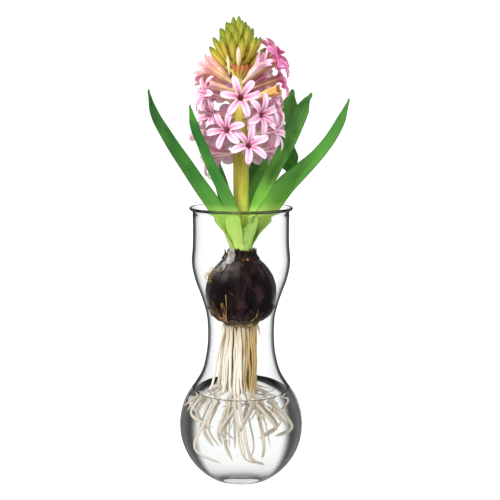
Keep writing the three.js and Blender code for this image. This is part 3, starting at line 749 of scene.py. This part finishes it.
def addBud(bm, tier, i):
    height, count, rise, stem, stand, length, radius, start, arc, finish = tier
    share = (i + budStyle["aside"] * (scatter(i + height) - 0.5)) / count
    around = start + share * arc
    upward = outward(around, stand + budStyle["nod"] * (scatter(i + height * 2) - 0.5))
    stemward = outward(around, rise)
    length *= 0.92 + 0.16 * scatter(i + height)
    middle = Vector((leanAt(height), 0, height))
    foot = middle + stemward * stem
    turn = scatter(i + height * 3)
    stemPoints = [middle + stemward * budStyle["start"], lerp(middle, foot, 0.6), foot, foot + upward]
    rings = budStyle["stemRings"]
    tube(bm, smoothLine(stemPoints, rings), [budStyle["stemRadius"]] * rings, budStyle["stemSides"],
         budFinishes["stem"])
    shares = crowded(budStyle["rings"], budStyle["crowding"])
    radii = [radius * stepAt(budStyle["profile"], s) * (0.96 + 0.08 * turn) for s in shares]
    tube(bm, [foot + upward * (length * s) for s in shares], radii, budStyle["sides"], budFinishes[finish],
         shape=lambda u, v: 1 + budStyle["lobes"] * (0.35 + v) * math.cos(fullTurn * (3 * u + turn)))


def budMesh():
    bm = newMesh()
    for tier in budTiers:
        count = tier[1]
        for i in range(count):
            addBud(bm, tier, i)
    shares = np.linspace(0, 1, paleBudRings)
    for foot, tip, radius in paleBuds:
        line = [lerp(Vector(foot), Vector(tip), s) for s in shares]
        tube(bm, line, [radius * stepAt(budStyle["profile"], s) for s in shares], 10, budFinishes["pale"])
    return bm


def stalkMaterial():
    skin = living("stalkSkin", 0.42, 0.08)
    level = skin.add("MapRange", {0: skin.axes(objectSpace)[2], 1: 0.178, 2: 0.358})
    base = skin.ramp(level, [(0, "#c9e07c"), (0.2, "#d9e274"), (0.26, "#d9d862"), (0.33, "#a09b2e"),
                             (0.45, "#847a26"), (0.55, "#9a9a2c"), (0.74, "#e2d873"), (1, "#c9cf4a")])
    streaks = skin.mottle(objectSpace, (1, 1, 0.06), 420, 3, 0.6)
    streaked = skin.lay("#e6dd6a", base, streaks, 0.4, 0.7, 0.5)
    shade = skin.mottle(objectSpace, (1, 1, 0.15), 130, 2)
    skin.paint(skin.lay("#6b6a20", streaked, shade, 0.5, 0.75, 0.4))
    skin.bump(streaks, 0.3)
    return skin.material


def budMaterial(name, stops, blush, high):
    skin = living(name, 0.4, 0.1)
    along = skin.ramp(skin.axes(uvSpace)[1], stops)
    base = skin.lay(high, along, skin.axes(objectSpace)[2], 0.334, 0.362, 0.5)
    ribs = skin.mottle(uvSpace, (12, 0.6, 1), 1.4, 2)
    skin.paint(skin.lay(blush, base, ribs, 0.46, 0.62, 0.6))
    skin.bump(ribs, 0.35)
    return skin.material


stalkSkin = stalkMaterial()
greenBud = budMaterial("greenBud", [(0, "#dcc44c"), (0.3, "#e2d056"), (0.5, "#cfc648"), (0.7, "#97982f"),
                                    (0.86, "#556e20"), (1, "#2a4518")], "#7d7322", "#63842e")
redBud = budMaterial("redBud", [(0, "#d9c352"), (0.3, "#dba656"), (0.6, "#cc7850"), (0.85, "#b25a44"),
                                (1, "#8a4034")], "#dba468", "#c06a50")
# Cream for the pale bud and for the painted highlight beside the stalk.
paleBudAndHighlight = budMaterial("paleBudAndHighlight", [(0, "#e6d68c"), (0.4, "#f6ecd0"), (0.85, "#f4e2c4"), (1, "#c98f5a")],
                      "#e0c79a", "#f6ecd0")
makePiece("stalk", stalkMesh(), [stalkSkin], ["flower_stalk"])
makePiece("closedBuds", budMesh(), [greenBud, redBud, stalkSkin, paleBudAndHighlight], ["flower_stalk"],
          smoothing=1)
print("stalk and buds are done")

# Florets: six strips each run up the stem and the swollen tube, part at the mouth and curl back as petals.
floretStyle = {
    "throatEdge": 6.695,    # length of the node's edges from the bottom of its throat to the lip
    "rimEdge": 1.031,       # and of those over the lip's rim
    "lipRise": 0.25,
    "tubeCorners": 31,      # the node's corners apart from its petals
    "petalCorners": 24,     # and those of one row of all six
    "stemRadius": 1.1,
    "stemWaist": 1.0,
    "sink": 0.9,            # how far the stem reaches into the stalk, and the mouth below the lip
    "swelling": [(0.84, 2.1), (0.62, 2.75), (0.34, 2.5)],      # share of the tube's depth, radius
    "throatRadius": 2.75,
    "mouthRadius": 2.95,
    "petalRows": 11,
    "columns": 6,
    "crowding": 1.45,
    "wider": 1.38,          # petals are this much wider than the node's
    "widerBehind": 2.0,     # and those of the crowded florets at the back and at the upper right
    "thickness": 0.55,
    "outline": [(0, 0.56), (0.25, 0.78), (0.5, 1), (0.68, 0.98), (0.84, 0.78), (0.93, 0.54), (0.98, 0.28),
                (1, 0.06)],
    "channel": 0.2,
    "curlIn": 1.4,
    "groove": 0.28,
    "grooveWidth": 0.28,
    "lean": 0.5,
}
anther = {"depth": 1.6, "fromAxis": 1.15, "size": (0.32, 0.32, 1.0)}
# The deep look is painted shade on florets crowded at the back.
specialFlorets = {20: "amber", 24: "deep", 27: "peach", 28: "peach", 29: "pale", 30: "deep", 31: "deep",
                  32: "peach", 33: "peach", 34: "pale"}
youngFlorets = (20, 28)
youngFullness = 0.9
# The brighter look is painted light on florets that lie in shade.
shadedBehind = -0.35    # florets that face less to the front than this take the brighter look


def otherFace(edge, face):
    return next(f for f in edge.link_faces if f != face)


def thirdCorner(face, edge):
    return next(v for v in face.verts if v not in edge.verts)


def edgeBetween(a, b):
    return next(e for e in a.link_edges if e.other_vert(a) == b)


def railOf(left, right, face, count):
    # The node's petal is two rails of quads: the corner pairs along one, from the mouth to the tip.
    corners = []
    for _ in range(count):
        edge = edgeBetween(left, right)
        face = otherFace(edge, face)
        nextRight = thirdCorner(face, edge)
        edge = edgeBetween(left, nextRight)
        face = otherFace(edge, face)
        left, right = thirdCorner(face, edge), nextRight
        corners.append((left.co.copy(), right.co.copy()))
    return corners


def readFloret(name):
    bm = mergedCopy(name)
    style = floretStyle
    throat = min((v for v in bm.verts if len(v.link_edges) == 6),
                 key=lambda v: max(abs(e.calc_length() - style["throatEdge"]) for e in v.link_edges))
    lip = [e.other_vert(throat) for e in throat.link_edges]
    middle = sum((v.co for v in lip), Vector()) / 6
    axis = (middle - throat.co).normalized()
    mouth = middle - axis * style["lipRise"]
    first = (lip[0].co - middle).normalized()
    second = axis.cross(first)
    lip.sort(key=lambda v: math.atan2((v.co - middle).dot(second), (v.co - middle).dot(first)))
    rim = [min((e.other_vert(v) for e in v.link_edges),
               key=lambda w: abs((w.co - v.co).length - style["rimEdge"])) for v in lip]
    near = [v.co for v in bm.verts if (v.co - mouth).dot(axis) < -1
            and abs(((v.co - mouth) - axis * (v.co - mouth).dot(axis)).length - style["stemRadius"]) < 0.05]
    heights = [(p - mouth).dot(axis) for p in near]
    count = round((len(bm.verts) - style["tubeCorners"]) / style["petalCorners"])
    petals = []
    for k in range(6):
        left, right = k, (k + 1) % 6
        rimSide = edgeBetween(rim[left], rim[right])
        wall = next(f for f in rimSide.link_faces if (thirdCorner(f, rimSide).co - mouth).dot(axis) < -1)
        low = railOf(rim[left], rim[right], wall, count)
        inner = next(f for f in edgeBetween(lip[left], lip[right]).link_faces if throat in f.verts)
        high = railOf(lip[left], lip[right], inner, count)
        sections = []
        for (a, b), (c, d) in zip(low, high):
            across = (b + d - a - c).normalized()
            inside = (c + d - a - b).normalized()
            sections.append([*((a + b + c + d) / 4), *across, *inside, (b - a).length / 2, 0])
        radial = ((rim[left].co + rim[right].co) / 2 - mouth).normalized()
        petals.append((radial, sections))
    bm.free()
    return {"mouth": mouth, "axis": axis, "foot": min(heights), "stem": max(heights), "petals": petals}


def tubeStation(floret, radial, height, radius):
    point = floret["mouth"] + floret["axis"] * height + radial * radius
    across = floret["axis"].cross(radial)
    return [*point, *across, *(-radial), radius * math.sin(math.pi / 6), radius * (1 - math.cos(math.pi / 6))]


def floretTube(floret, radial, fullness):
    # From the foot of the stem up the swollen tube to the mouth.
    style = floretStyle
    foot, stem = floret["foot"], floret["stem"]
    places = [(foot - style["sink"], style["stemRadius"]), (lerp(foot, stem, 0.5), style["stemWaist"]),
              (stem, style["stemRadius"]), *((stem * share, r * fullness) for share, r in style["swelling"]),
              (-style["sink"], style["throatRadius"]), (0, style["mouthRadius"])]
    return [tubeStation(floret, radial, height, radius) for height, radius in places]


def floretMesh(floret, index, look):
    bm = newMesh()
    style = floretStyle
    wider = style["widerBehind" if floret["axis"].y > 0 or look == "deep" else "wider"]
    fullness = youngFullness if index in youngFlorets else 1
    shares = crowded(style["petalRows"] + 1, style["crowding"])[1:]
    for k, (radial, sections) in enumerate(floret["petals"]):
        tubeRows = floretTube(floret, radial, fullness)
        stations = tubeRows[-2:] + sections
        knots = distancesAlong([tuple(s[:3]) for s in stations])
        free = knots[-1] - knots[1]
        petalRows = curveThrough(stations, knots, [knots[1] + free * s for s in shares])
        rows = [*map(np.array, tubeRows), *petalRows]
        widest = max(s[9] for s in sections) * wider * (0.96 + 0.1 * scatter(index * 13 + k))
        firstFree = len(tubeRows)
        mouthHalf, mouthDepth = tubeRows[-1][9:]
        last = len(rows) - 1
        lean = (scatter(index * 17 + k) - 0.5) * style["lean"]

        def place(u, v):
            i = round(v * last)
            row = rows[i].copy()
            x = 2 * u - 1
            if i < firstFree:
                return strapPoint(row, x, row[10] * x * x)
            share = shares[i - firstFree]
            row[9] = lerp(mouthHalf, widest * stepAt(style["outline"], share), min(1, share * 4))
            tip = ease(0.75, 1, share)
            depth = row[9] * style["channel"] * x * x * (1 + style["curlIn"] * tip)
            depth += mouthDepth * x * x * (1 - min(1, share * 3))
            groove = math.exp(-(x / style["grooveWidth"]) ** 2) * ease(0, 0.2, share) * (1 - tip)
            depth -= style["groove"] * groove
            depth += lean * x * row[9] * share
            return strapPoint(row, x, depth)

        drape(bm, style["columns"], last, place)
    return bm


def petalMaterial(name, stops, edge, rib, deep, rim, edgeShare, ribShare):
    # Pale edges with a thin dark rim of painted shade along the outline, and a darker rib that fades towards
    # the tip.
    skin = living(name, 0.42, 0.32, {"Subsurface Radius": (1.0, 0.55, 0.7)})
    u, v, _ = skin.axes(uvSpace)
    fromMiddle = skin.times(skin.maths("ABSOLUTE", skin.maths("SUBTRACT", u, 0.5)), 2)
    light = skin.lay(edge, skin.ramp(v, stops), fromMiddle, 0.35, 0.75, edgeShare)
    # Painted shade: the thin dark rim along the upper outline.
    outlineShadeMask = skin.times(skin.spread(fromMiddle, 0.82, 1, 0, 0.85), skin.spread(v, 0.45, 0.6))
    outlineShaded = skin.blend(outlineShadeMask, light, rim)
    ribbed = skin.times(skin.spread(fromMiddle, 0.04, 0.3, 1, 0),
                        skin.spread(v, 0.6, 0.97, ribShare, 0))
    veins = skin.mottle(uvSpace, (16, 1.2, 1), 2, 3)
    veined = skin.lay(rib, skin.blend(ribbed, outlineShaded, rib), veins, 0.5, 0.8, 0.28)
    skin.paint(skin.lay(deep, veined, skin.mottle(objectSpace, evenly, 90, 2), 0.45, 0.7, 0.22))
    skin.bump(veins, 0.25, 0.0002)
    return skin.material


petalLooks = {
    # colours from the stem to the tip; edge, rib, patches and rim, the rim being painted shade; how strongly
    # the edge and the rib show
    # In the open and shaded looks the darker magenta of the tube is painted shade in the crevices between
    # florets.
    "open": ([(0, "#aea860"), (0.16, "#cf9580"), (0.32, "#c26c92"), (0.44, "#c4608f"), (0.53, "#e3a0c3"),
              (0.66, "#f3c7dc"), (0.85, "#f5cddf"), (1, "#e9aac8")],
             "#fceaf2", "#d074a6", "#d98fb8", "#a04478", 0.55, 0.42),
    # Painted shade: darker magenta for the crowded florets at the back and upper right.
    "deep": ([(0, "#b9a850"), (0.3, "#c4a04e"), (0.42, "#cb5c92"), (0.6, "#e27aae"), (1, "#ea8cba")],
             "#f8c2da", "#b23a80", "#bf4a8c", "#8f2c68", 0.5, 0.6),
    # Painted light: paler copies of the open colours, for florets that face away and lie in shade.
    "shaded": ([(0, "#b4ae66"), (0.16, "#d49c88"), (0.32, "#c9789c"), (0.44, "#cc749e"), (0.53, "#efb4d2"),
                (0.66, "#fddcec"), (0.85, "#fde0ee"), (1, "#f5c0da")],
               "#fff8fb", "#dc84b4", "#e8a4c8", "#a04478", 0.6, 0.42),
    "peach": ([(0, "#d3cf7d"), (0.25, "#edc184"), (0.45, "#f3b79a"), (0.7, "#f3b3b4"), (1, "#eb9dbd")],
              "#fbe2d8", "#df7fa0", "#ee9f8a", "#c0687f", 0.6, 0.5),
    "pale": ([(0, "#d9d49a"), (0.25, "#efd3bc"), (0.45, "#f3c4d3"), (0.8, "#f6cfe2"), (1, "#f2b3cf")],
             "#fdeef5", "#e38ab8", "#eaa6bd", "#c26a9c", 0.7, 0.5),
    "amber": ([(0, "#d8cf6e"), (0.3, "#e8c06c"), (0.6, "#ecb35e"), (0.85, "#eaa35a"), (1, "#de8450")],
              "#f6e0a0", "#de8a52", "#e59e6a", "#b56a34", 0.6, 0.5),
}
petalSkins = {name: petalMaterial("petal_" + name, *look) for name, look in petalLooks.items()}


def addAnthers(bm, floret):
    for radial, _ in floret["petals"]:
        along = floret["axis"].cross(radial)
        turn = Matrix((along, radial, floret["axis"])).transposed().to_4x4()
        spot = floret["mouth"] - floret["axis"] * anther["depth"] + radial * anther["fromAxis"]
        place = Matrix.Translation(spot) @ turn @ Matrix.Diagonal((*anther["size"], 1))
        bmesh.ops.create_icosphere(bm, subdivisions=1, radius=1, matrix=place)


antherMesh = newMesh()
floretNames = sorted(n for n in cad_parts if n.startswith("floret_"))
for name in floretNames:
    number = int(name[-2:])
    floret = readFloret(name)
    # Florets facing away take the shaded look, which is painted light.
    look = specialFlorets.get(number, "shaded" if floret["axis"].y > shadedBehind else "open")
    makePiece("flower" + name[6:], floretMesh(floret, number, look), [petalSkins[look]], [name],
              floretStyle["thickness"], 1)
    if number not in youngFlorets:
        addAnthers(antherMesh, floret)
antherSkin = Skin("anther", {"Roughness": 0.7})
speckle = antherSkin.mottle(objectSpace, evenly, 2500, 2)
antherSkin.paint(antherSkin.lay("#a3866a", "#6d4468", speckle, 0.4, 0.6))
makePiece("anthers", antherMesh, [antherSkin.material], smoothing=1)
print("florets are done:", len(floretNames))

# Bulb: an onion of overlapping papery scales on a flat root plate, with a ragged neck. Its skin is pairs of
# radius and height, from the middle of the plate up the outside and down into the neck.
bulb = {
    "skin": [(0.01, 130.2), (8, 129.8), (12, 129.4), (19.4, 131.6), (25, 137), (27.7, 144.5), (28.6, 152),
             (28.1, 159), (25.8, 166), (22.2, 171.5), (18.4, 176), (14.6, 180), (11.4, 184.6), (10.9, 187.4),
             (9.6, 187.2), (9.2, 184), (9.2, 178.4), (0.01, 178.2)],
    "outside": slice(2, 13),    # the points of the skin that face outwards
    "sides": 112,
    "rows": 72,
    "laps": [0.0, 0.13, 0.31, 0.45, 0.58, 0.77, 0.88, 1.0],     # where each scale's edge starts, in turns
    "lapStep": 0.75,
    "lapLean": 160,         # rise in which the laps wind once round the bulb
    "wrinkle": 0.28,
    "wrinkles": 9,
    "unevenFrom": (8, 15),      # radii between which laps and wrinkles set in
    "unevenUpTo": (189, 183),   # and heights between which they fade out
    "lapsFrom": (12, 20),
    "ragged": 2.4,
    "raggedFrom": (184, 187.4),
    "neckInside": 9,
    "plateTop": 129.4,
}
# Loose scales, with directions from the front in degrees.
bulbScales = [
    # direction, half-width, lowest and highest point, lift, raggedness, finish
    (-34, 15, 178, 190.5, 2.0, 0.35, "film"),
    (-50, 9, 172, 180, 0.8, 0.3, "film"),
    (13, 10, 180.4, 182.6, 0.6, 0.3, "husk"),
    (-12, 30, 136, 180, 0.5, 0.12, "tunic"),
    (34, 26, 140, 181, 0.45, 0.1, "tunic"),
    (-58, 24, 132, 176, 0.6, 0.16, "tunic"),
    (78, 28, 134, 178, 0.5, 0.12, "tunic"),
    (128, 30, 136, 180, 0.6, 0.15, "tunic"),
    (178, 28, 133, 179, 0.5, 0.15, "tunic"),
    (-132, 30, 135, 181, 0.6, 0.15, "tunic"),
    (-29, 4, 131, 149, 1.1, 0.5, "husk"),
    (-42, 9, 129.9, 136.5, 1.5, 0.5, "husk"),
    (-56, 6, 131, 140, 1.2, 0.5, "husk"),
    (110, 12, 131, 145, 1.3, 0.3, "husk"),
    (-160, 12, 130, 143, 1.4, 0.3, "husk"),
]
scaleFinishes = {"tunic": 0, "film": 1, "husk": 2, "shard": 3}
scaleStyle = {"columns": 14, "rows": 16, "clear": 0.25, "crumple": 0.3, "thickness": 0.22}
neckShards = {
    "count": 17,
    "from": -20,
    "arc": 304,
    "halfAngle": (6, 15),
    "low": 180.5,
    "high": (184.8, 190),
    "lift": 1.8,
    "ragged": 0.45,
    "husks": 0.12,      # share of them that are tan
}


def skinRadius(height):
    return stepAt([(z, r) for r, z in bulb["skin"][bulb["outside"]]], height)


def lapAt(turn, height):
    # Share of the way from one scale's edge to the next.
    place = (turn + (height - bulb["plateTop"]) / bulb["lapLean"]) % 1
    edges = bulb["laps"]
    i = max(k for k in range(len(edges) - 1) if edges[k] <= place)
    return (place - edges[i]) / (edges[i + 1] - edges[i])


def bulbMesh():
    bm = newMesh()
    sides = bulb["sides"]
    line = profileLine(bulb["skin"], bulb["rows"] + 1)
    line[0].x = line[-1].x = 0

    def place(u, v):
        i = round(v * bulb["rows"])
        radius, height = max(0, line[i].x), line[i].z
        outer = ease(*bulb["unevenFrom"], radius) * ease(*bulb["unevenUpTo"], height)
        lap = (lapAt(u % 1, height) - 1) * bulb["lapStep"] * ease(*bulb["lapsFrom"], radius)
        angle = fullTurn * u
        folds = polar(bulb["wrinkles"], angle, height * 0.02)
        radius += (lap + noise.noise(folds) * bulb["wrinkle"]) * outer
        if radius > bulb["neckInside"]:
            torn = scatter(round(u * sides) % sides // 3) - 0.5
            height += bulb["ragged"] * torn * ease(*bulb["raggedFrom"], height)
        return polar(radius, angle, height)

    drape(bm, sides, bulb["rows"], place)
    return bm


def addScale(bm, around, half, low, high, lift, ragged, finish, index):
    # A patch of the skin with a torn edge, which stands off a little more towards its top and sides.
    def place(u, v):
        x = 2 * u - 1
        torn = 1 + ragged * 2 * wave(v * 3.5, index * 1.7, 1 if x > 0 else 7)
        width = half * (4 * max(0.02, v) * max(0.02, 1.04 - v)) ** 0.4 * torn
        height = lerp(low, high + ragged * 9 * wave(x * 2.2, index * 2.9, 3), v)
        out = skinRadius(height) + scaleStyle["clear"]
        out += lift * (0.15 + 0.85 * max(abs(x) ** 3, ease(0.55, 1, v)))
        out += scaleStyle["crumple"] * wave(x * 3, v * 3, index * 5.3)
        return polar(out, fromFront(around + x * width), height)

    drape(bm, scaleStyle["columns"], scaleStyle["rows"], place, scaleFinishes[finish])


def scaleMesh():
    bm = newMesh()
    for index, scale in enumerate(bulbScales):
        addScale(bm, *scale, index)
    style = neckShards
    for k in range(style["count"]):
        around = style["from"] + style["arc"] * (k + 0.6 * scatter(k + 5)) / style["count"]
        half = lerp(*style["halfAngle"], scatter(k + 9))
        high = lerp(*style["high"], scatter(k + 13))
        lift = style["lift"] * scatter(k + 21)
        finish = "shard" if scatter(k + 33) > style["husks"] else "husk"
        addScale(bm, around, half, style["low"], high, lift, style["ragged"], finish, k + 40)
    return bm


def tunicMaterial():
    # Dark and streaked, earthy low on the left and with a grey bloom high on the left.
    skin = Skin("tunicSkin", {"Roughness": 0.32, "Specular IOR Level": 0.45})
    x, _, height = skin.axes(objectSpace)
    streaks = skin.mottle(objectSpace, (1, 1, 0.16), 150, 5, 0.7)
    patches = skin.mottle(objectSpace, (1, 1, 0.5), 60, 4, 0.6)
    dark = skin.lay("#1d1115", "#050203", streaks, 0.42, 0.68)
    worn = skin.lay("#3d2629", dark, patches, 0.5, 0.66, 0.75)
    lowLeft = skin.times(skin.spread(x, -0.003, -0.022), skin.spread(height, 0.158, 0.138))
    earthy = skin.times(lowLeft, skin.spread(patches, 0.4, 0.6))
    earth = skin.blend(earthy, worn, "#6a4a2c")
    highLeft = skin.times(skin.spread(x, 0.006, -0.02), skin.spread(height, 0.163, 0.176))
    bloomed = skin.times(highLeft, skin.spread(streaks, 0.35, 0.65, 0.15, 0.6))
    dusty = skin.blend(bloomed, earth, "#8c8684")
    neck = skin.times(skin.spread(height, 0.1795, 0.184), 0.4)
    skin.paint(skin.blend(neck, dusty, "#5a3d30"))
    skin.bump(streaks, 0.7, 0.001)
    return skin.material


def paperMaterial(name, low, high, alpha=1.0):
    skin = Skin(name, {"Roughness": 0.5, "Alpha": alpha})
    grain = skin.mottle(objectSpace, (1, 1, 0.2), 320, 4, 0.6)
    skin.paint(skin.lay(high, low, grain, 0.38, 0.66))
    skin.bump(grain, 0.5, 0.0006)
    return skin.material


tunicSkin = tunicMaterial()
filmSkin = paperMaterial("greyFilm", "#9d9a9a", "#c9c6c4", 0.55)
huskSkin = paperMaterial("tanHusk", "#4a3020", "#a67c50")
shardSkin = paperMaterial("darkShard", "#0f090b", "#3a251c")
makePiece("bulbBody", bulbMesh(), [tunicSkin], ["bulb"])
makePiece("bulbScales", scaleMesh(), [tunicSkin, filmSkin, huskSkin, shardSkin], ["bulb"],
          scaleStyle["thickness"], 1)

# Dried fibres: a golden tuft at the left, a few loose threads over the skin, and the scales' torn edges,
# which show as fine pale lines.
fibres = {
    "tuft": 26,
    "tuftAround": (-76, -58),
    "tuftHeight": (163, 173),
    "tuftReach": 8,
    "tuftRings": 12,
    "bend": 7,
    "radius": 0.2,
    "taper": 0.7,
    "edge": 0.2,
    "edgeBetween": (133, 174),
    "edgeRings": 30,
    "threadOut": 0.9,
    "threadRings": 18,
    # direction from the front and height of the top, the same of the foot, radius
    "threads": [(28, 144, 14, 130, 0.26), (-24, 156, -33, 130.5, 0.3), (-50, 150, -40, 131, 0.22),
                (64, 150, 52, 132, 0.2)],
}


def addTuft(bm):
    rings = fibres["tuftRings"]
    for k in range(fibres["tuft"]):
        turn = fromFront(lerp(*fibres["tuftAround"], scatter(k + 3)))
        height = lerp(*fibres["tuftHeight"], scatter(k + 17))
        reach = fibres["tuftReach"] * (0.35 + 0.65 * scatter(k + 29))
        out = polar(1, turn, 0)
        aside = Vector((-out.y, out.x, 0))
        base = out * (skinRadius(height) - 0.2) + Vector((0, 0, height))
        bend = (scatter(k + 51) - 0.5) * fibres["bend"]
        points = [base]
        for far, side, up in [(0.45, 0.2, 1.5 * scatter(k + 61)), (0.8, 0.6, 4.5 * scatter(k + 71) - 1),
                              (0.7, 1, 7 * scatter(k + 81) - 1.5)]:
            points.append(base + out * reach * far + aside * bend * side + Vector((0, 0, up)))
        tube(bm, smoothLine(points, rings), tapered(fibres["radius"], fibres["taper"], rings), 5)


def addThreads(bm):
    for around, high, lowAround, low, radius in fibres["threads"]:
        line = []
        for share in np.linspace(0, 1, fibres["threadRings"]):
            height = lerp(high, low, share)
            turn = fromFront(lerp(around, lowAround, share) + 5 * math.sin(3 * share))
            line.append(polar(skinRadius(height) + fibres["threadOut"], turn, height))
        tube(bm, line, [radius] * len(line), 6)


def addTornEdges(bm):
    for edge in bulb["laps"][:-1]:
        line = []
        for height in np.linspace(*fibres["edgeBetween"], fibres["edgeRings"]):
            turn = fullTurn * (edge - (height - bulb["plateTop"]) / bulb["lapLean"])
            out = skinRadius(height) + 0.3 + 0.2 * wave(height * 0.3, edge * 50, 0)
            line.append(polar(out, turn, height))
        radii = [fibres["edge"] * (0.55 + 0.45 * math.sin(i * 1.3 + edge * 20)) for i in range(len(line))]
        tube(bm, line, radii, 5, 1)


fibreMesh = newMesh()
addTuft(fibreMesh)
addThreads(fibreMesh)
addTornEdges(fibreMesh)
goldSkin = paperMaterial("goldFibre", "#6e5228", "#cfae66")
edgeSkin = paperMaterial("scaleEdge", "#4a3326", "#8d6c50")
makePiece("driedFibres", fibreMesh, [goldSkin, edgeSkin])
print("bulb is done")

# Roots: each follows the line of its root in the node, with thinner ones beside it.
roots = {
    "count": 20,
    "crownRadius": 15,
    "crownThickness": 3,
    "bundleRadius": 16.3,
    "bundleShift": -3,
    "thickness": 3,
    "depth": (20, 54),
    "reach": (4, 24),
    "strands": 3,
    "finer": (0.4, 0.75),   # thickness of the strands beside it
    "taper": 0.45,
    "sway": 0.9,
    "steps": 46,
    "sides": 9,
}
# More of them fill the bundle above the water.
filling = {"count": 52, "radius": (0.7, 1.35), "taper": 0.6, "below": (-4, 9), "rings": 25, "sides": 8}
# Short ones hang round the crown.
hairs = {"count": 26, "radius": 0.5, "taper": 0.8, "length": (4, 13), "from": (11, 14.6), "top": 127.5,
         "rings": 10, "sides": 6}
crown = {
    "profile": [(0.01, 125.8), (8, 125.7), (12.6, 126.3), (14.6, 127.6), (15, 129.2), (0.01, 129.7)],
    "columns": 40,
    "rows": 15,
    "lumps": 0.5,
}


def bundled(rings, angles):
    # Points at a radius, an angle and a height, with a share of the bundle's shift to one side.
    return [polar(r, angle, z) + Vector((shift * roots["bundleShift"], 0, 0))
            for (r, z, shift), angle in zip(rings, angles)]


def sway(share, seed):
    return Vector((wave(share, seed, 0), wave(share, seed, 9), 0))


def rootPoints(index):
    # The rule by which the node's roots hang: in a bundle to the water, then out and round below it.
    around = index * goldenAngle
    share = math.sqrt((index + 0.5) / roots["count"])
    hang = roots["bundleRadius"] * share
    bend = scatter(index + 1)
    depth = lerp(*roots["depth"], scatter(index + 40))
    reach = hang + lerp(*roots["reach"], bend)
    drift = around + (scatter(index + 80) - 0.5) * 1.6
    plate = bulb["plateTop"] - roots["crownThickness"]
    low = waterTop - depth
    top = (roots["crownRadius"] - roots["thickness"]) * share
    rings = [(top, plate + 1, 0), (top, plate - 5, 0), (hang * 0.95, (plate + waterTop) / 2, 0.4),
             (hang, waterTop + 5, 1), ((hang + reach) / 2, waterTop - depth * 0.45, 1), (reach, low + 4, 0.8),
             (reach * 0.72, low - 4, 0.6)]
    angles = [around, around, around + 0.1, around + 0.15, (around + drift) / 2 + 0.1, drift,
              drift + 0.9 * (bend - 0.4)]
    return bundled(rings, angles)


def addRoot(bm, index, strand):
    seed = index * 7 + strand * 131
    points = rootPoints(index)
    thick = roots["thickness"] / 2
    if strand:
        away = Vector((scatter(seed) - 0.5, scatter(seed + 1) - 0.5, 0)) * 2
        points = [p + away * (0.9 + 1.4 * i) * (1 if i else 0.4) for i, p in enumerate(points)]
        points = points[:round(lerp(5, 7, scatter(seed + 2)))]
        thick *= lerp(*roots["finer"], scatter(seed + 4))
    line = smoothLine(points, roots["steps"] + 1)
    radii = []
    for i, point in enumerate(line):
        share = i / roots["steps"]
        line[i] = point + sway(share * 5, seed) * roots["sway"] * share
        uneven = 1 + 0.08 * wave(share * 14, seed, 4)
        radii.append(thick * (1 - roots["taper"] * share ** 3) * uneven)
    radii[-1] = 0.05
    radii[-2] *= 0.6
    tube(bm, line, radii, roots["sides"])


def addFilling(bm, k):
    share = math.sqrt((k + 0.5) / filling["count"])
    around = k * goldenAngle + 1
    reach = roots["bundleRadius"] * share
    end = waterTop - lerp(*filling["below"], scatter(k + 300))
    rings = [((roots["crownRadius"] - 2) * share, 128.5, 0), ((roots["crownRadius"] - 1.5) * share, 121, 0.1),
             (reach * 0.92, 100, 0.5), (reach, waterTop + 8, 0.9), (reach * 1.02, end, 1)]
    line = smoothLine(bundled(rings, [around + 0.1 * i for i in range(5)]), filling["rings"])
    line = [point + sway(i * 0.16, k) for i, point in enumerate(line)]
    radii = tapered(lerp(*filling["radius"], scatter(k + 310)), filling["taper"], filling["rings"], 4)
    tube(bm, line, radii, filling["sides"])


def addHair(bm, k):
    length = lerp(*hairs["length"], scatter(k + 400))
    out = polar(1, k * goldenAngle, 0)
    start = out * lerp(*hairs["from"], scatter(k + 410)) + Vector((0, 0, hairs["top"]))
    points = [start, start + out * 1.5 + Vector((0, 0, -0.35 * length)),
              start + out * lerp(1, 4, scatter(k + 420)) + Vector((0, 0, -length))]
    radii = tapered(hairs["radius"], hairs["taper"], hairs["rings"])
    tube(bm, smoothLine(points, hairs["rings"]), radii, hairs["sides"])


def addCrown(bm, material):
    line = profileLine(crown["profile"], crown["rows"] + 1)

    def place(u, v):
        point = line[round(v * crown["rows"])]
        angle = fullTurn * u
        lump = crown["lumps"] * wave(4 * math.cos(angle), 4 * math.sin(angle), point.z) * (point.x > 3)
        return polar(max(0, point.x + lump) if 0 < v < 1 else 0, angle, point.z)

    drape(bm, crown["columns"], crown["rows"], place, material)


def rootMaterial():
    # Cream, tan at the right and dull at the top, and greyer under water as painted shade.
    skin = living("rootSkin", 0.3, 0.2, {"Coat Weight": 0.3})
    x, _, height = skin.axes(objectSpace)
    patches = skin.mottle(objectSpace, evenly, 60, 3)
    side = skin.maths("ADD", x, skin.times(skin.maths("SUBTRACT", patches, 0.5), 0.02))
    cream = skin.lay("#b79e66", "#e8e2d6", side, -0.002, 0.008)
    top = skin.lay("#c9b68a", cream, height, 0.1, 0.127, 0.5)
    # Painted shade: greyer below the water line, where the water and glass dim the roots.
    underwaterShade = skin.lay("#c8c3b8", top, height, 0.077, 0.069, 0.85)
    streaks = skin.mottle(uvSpace, (3, 9, 1), 3, 3)
    skin.paint(skin.lay("#9a8c6c", underwaterShade, streaks, 0.45, 0.75, 0.4))
    skin.bump(streaks, 0.2)
    return skin.material


rootMesh = newMesh()
for index in range(roots["count"]):
    for strand in range(roots["strands"]):
        addRoot(rootMesh, index, strand)
for k in range(filling["count"]):
    addFilling(rootMesh, k)
for k in range(hairs["count"]):
    addHair(rootMesh, k)
addCrown(rootMesh, 1)
plateSkin = paperMaterial("rootPlate", "#4a3524", "#a58a5c")
makePiece("rootStrands", rootMesh, [rootMaterial(), plateSkin], ["roots"])
print("roots are done")
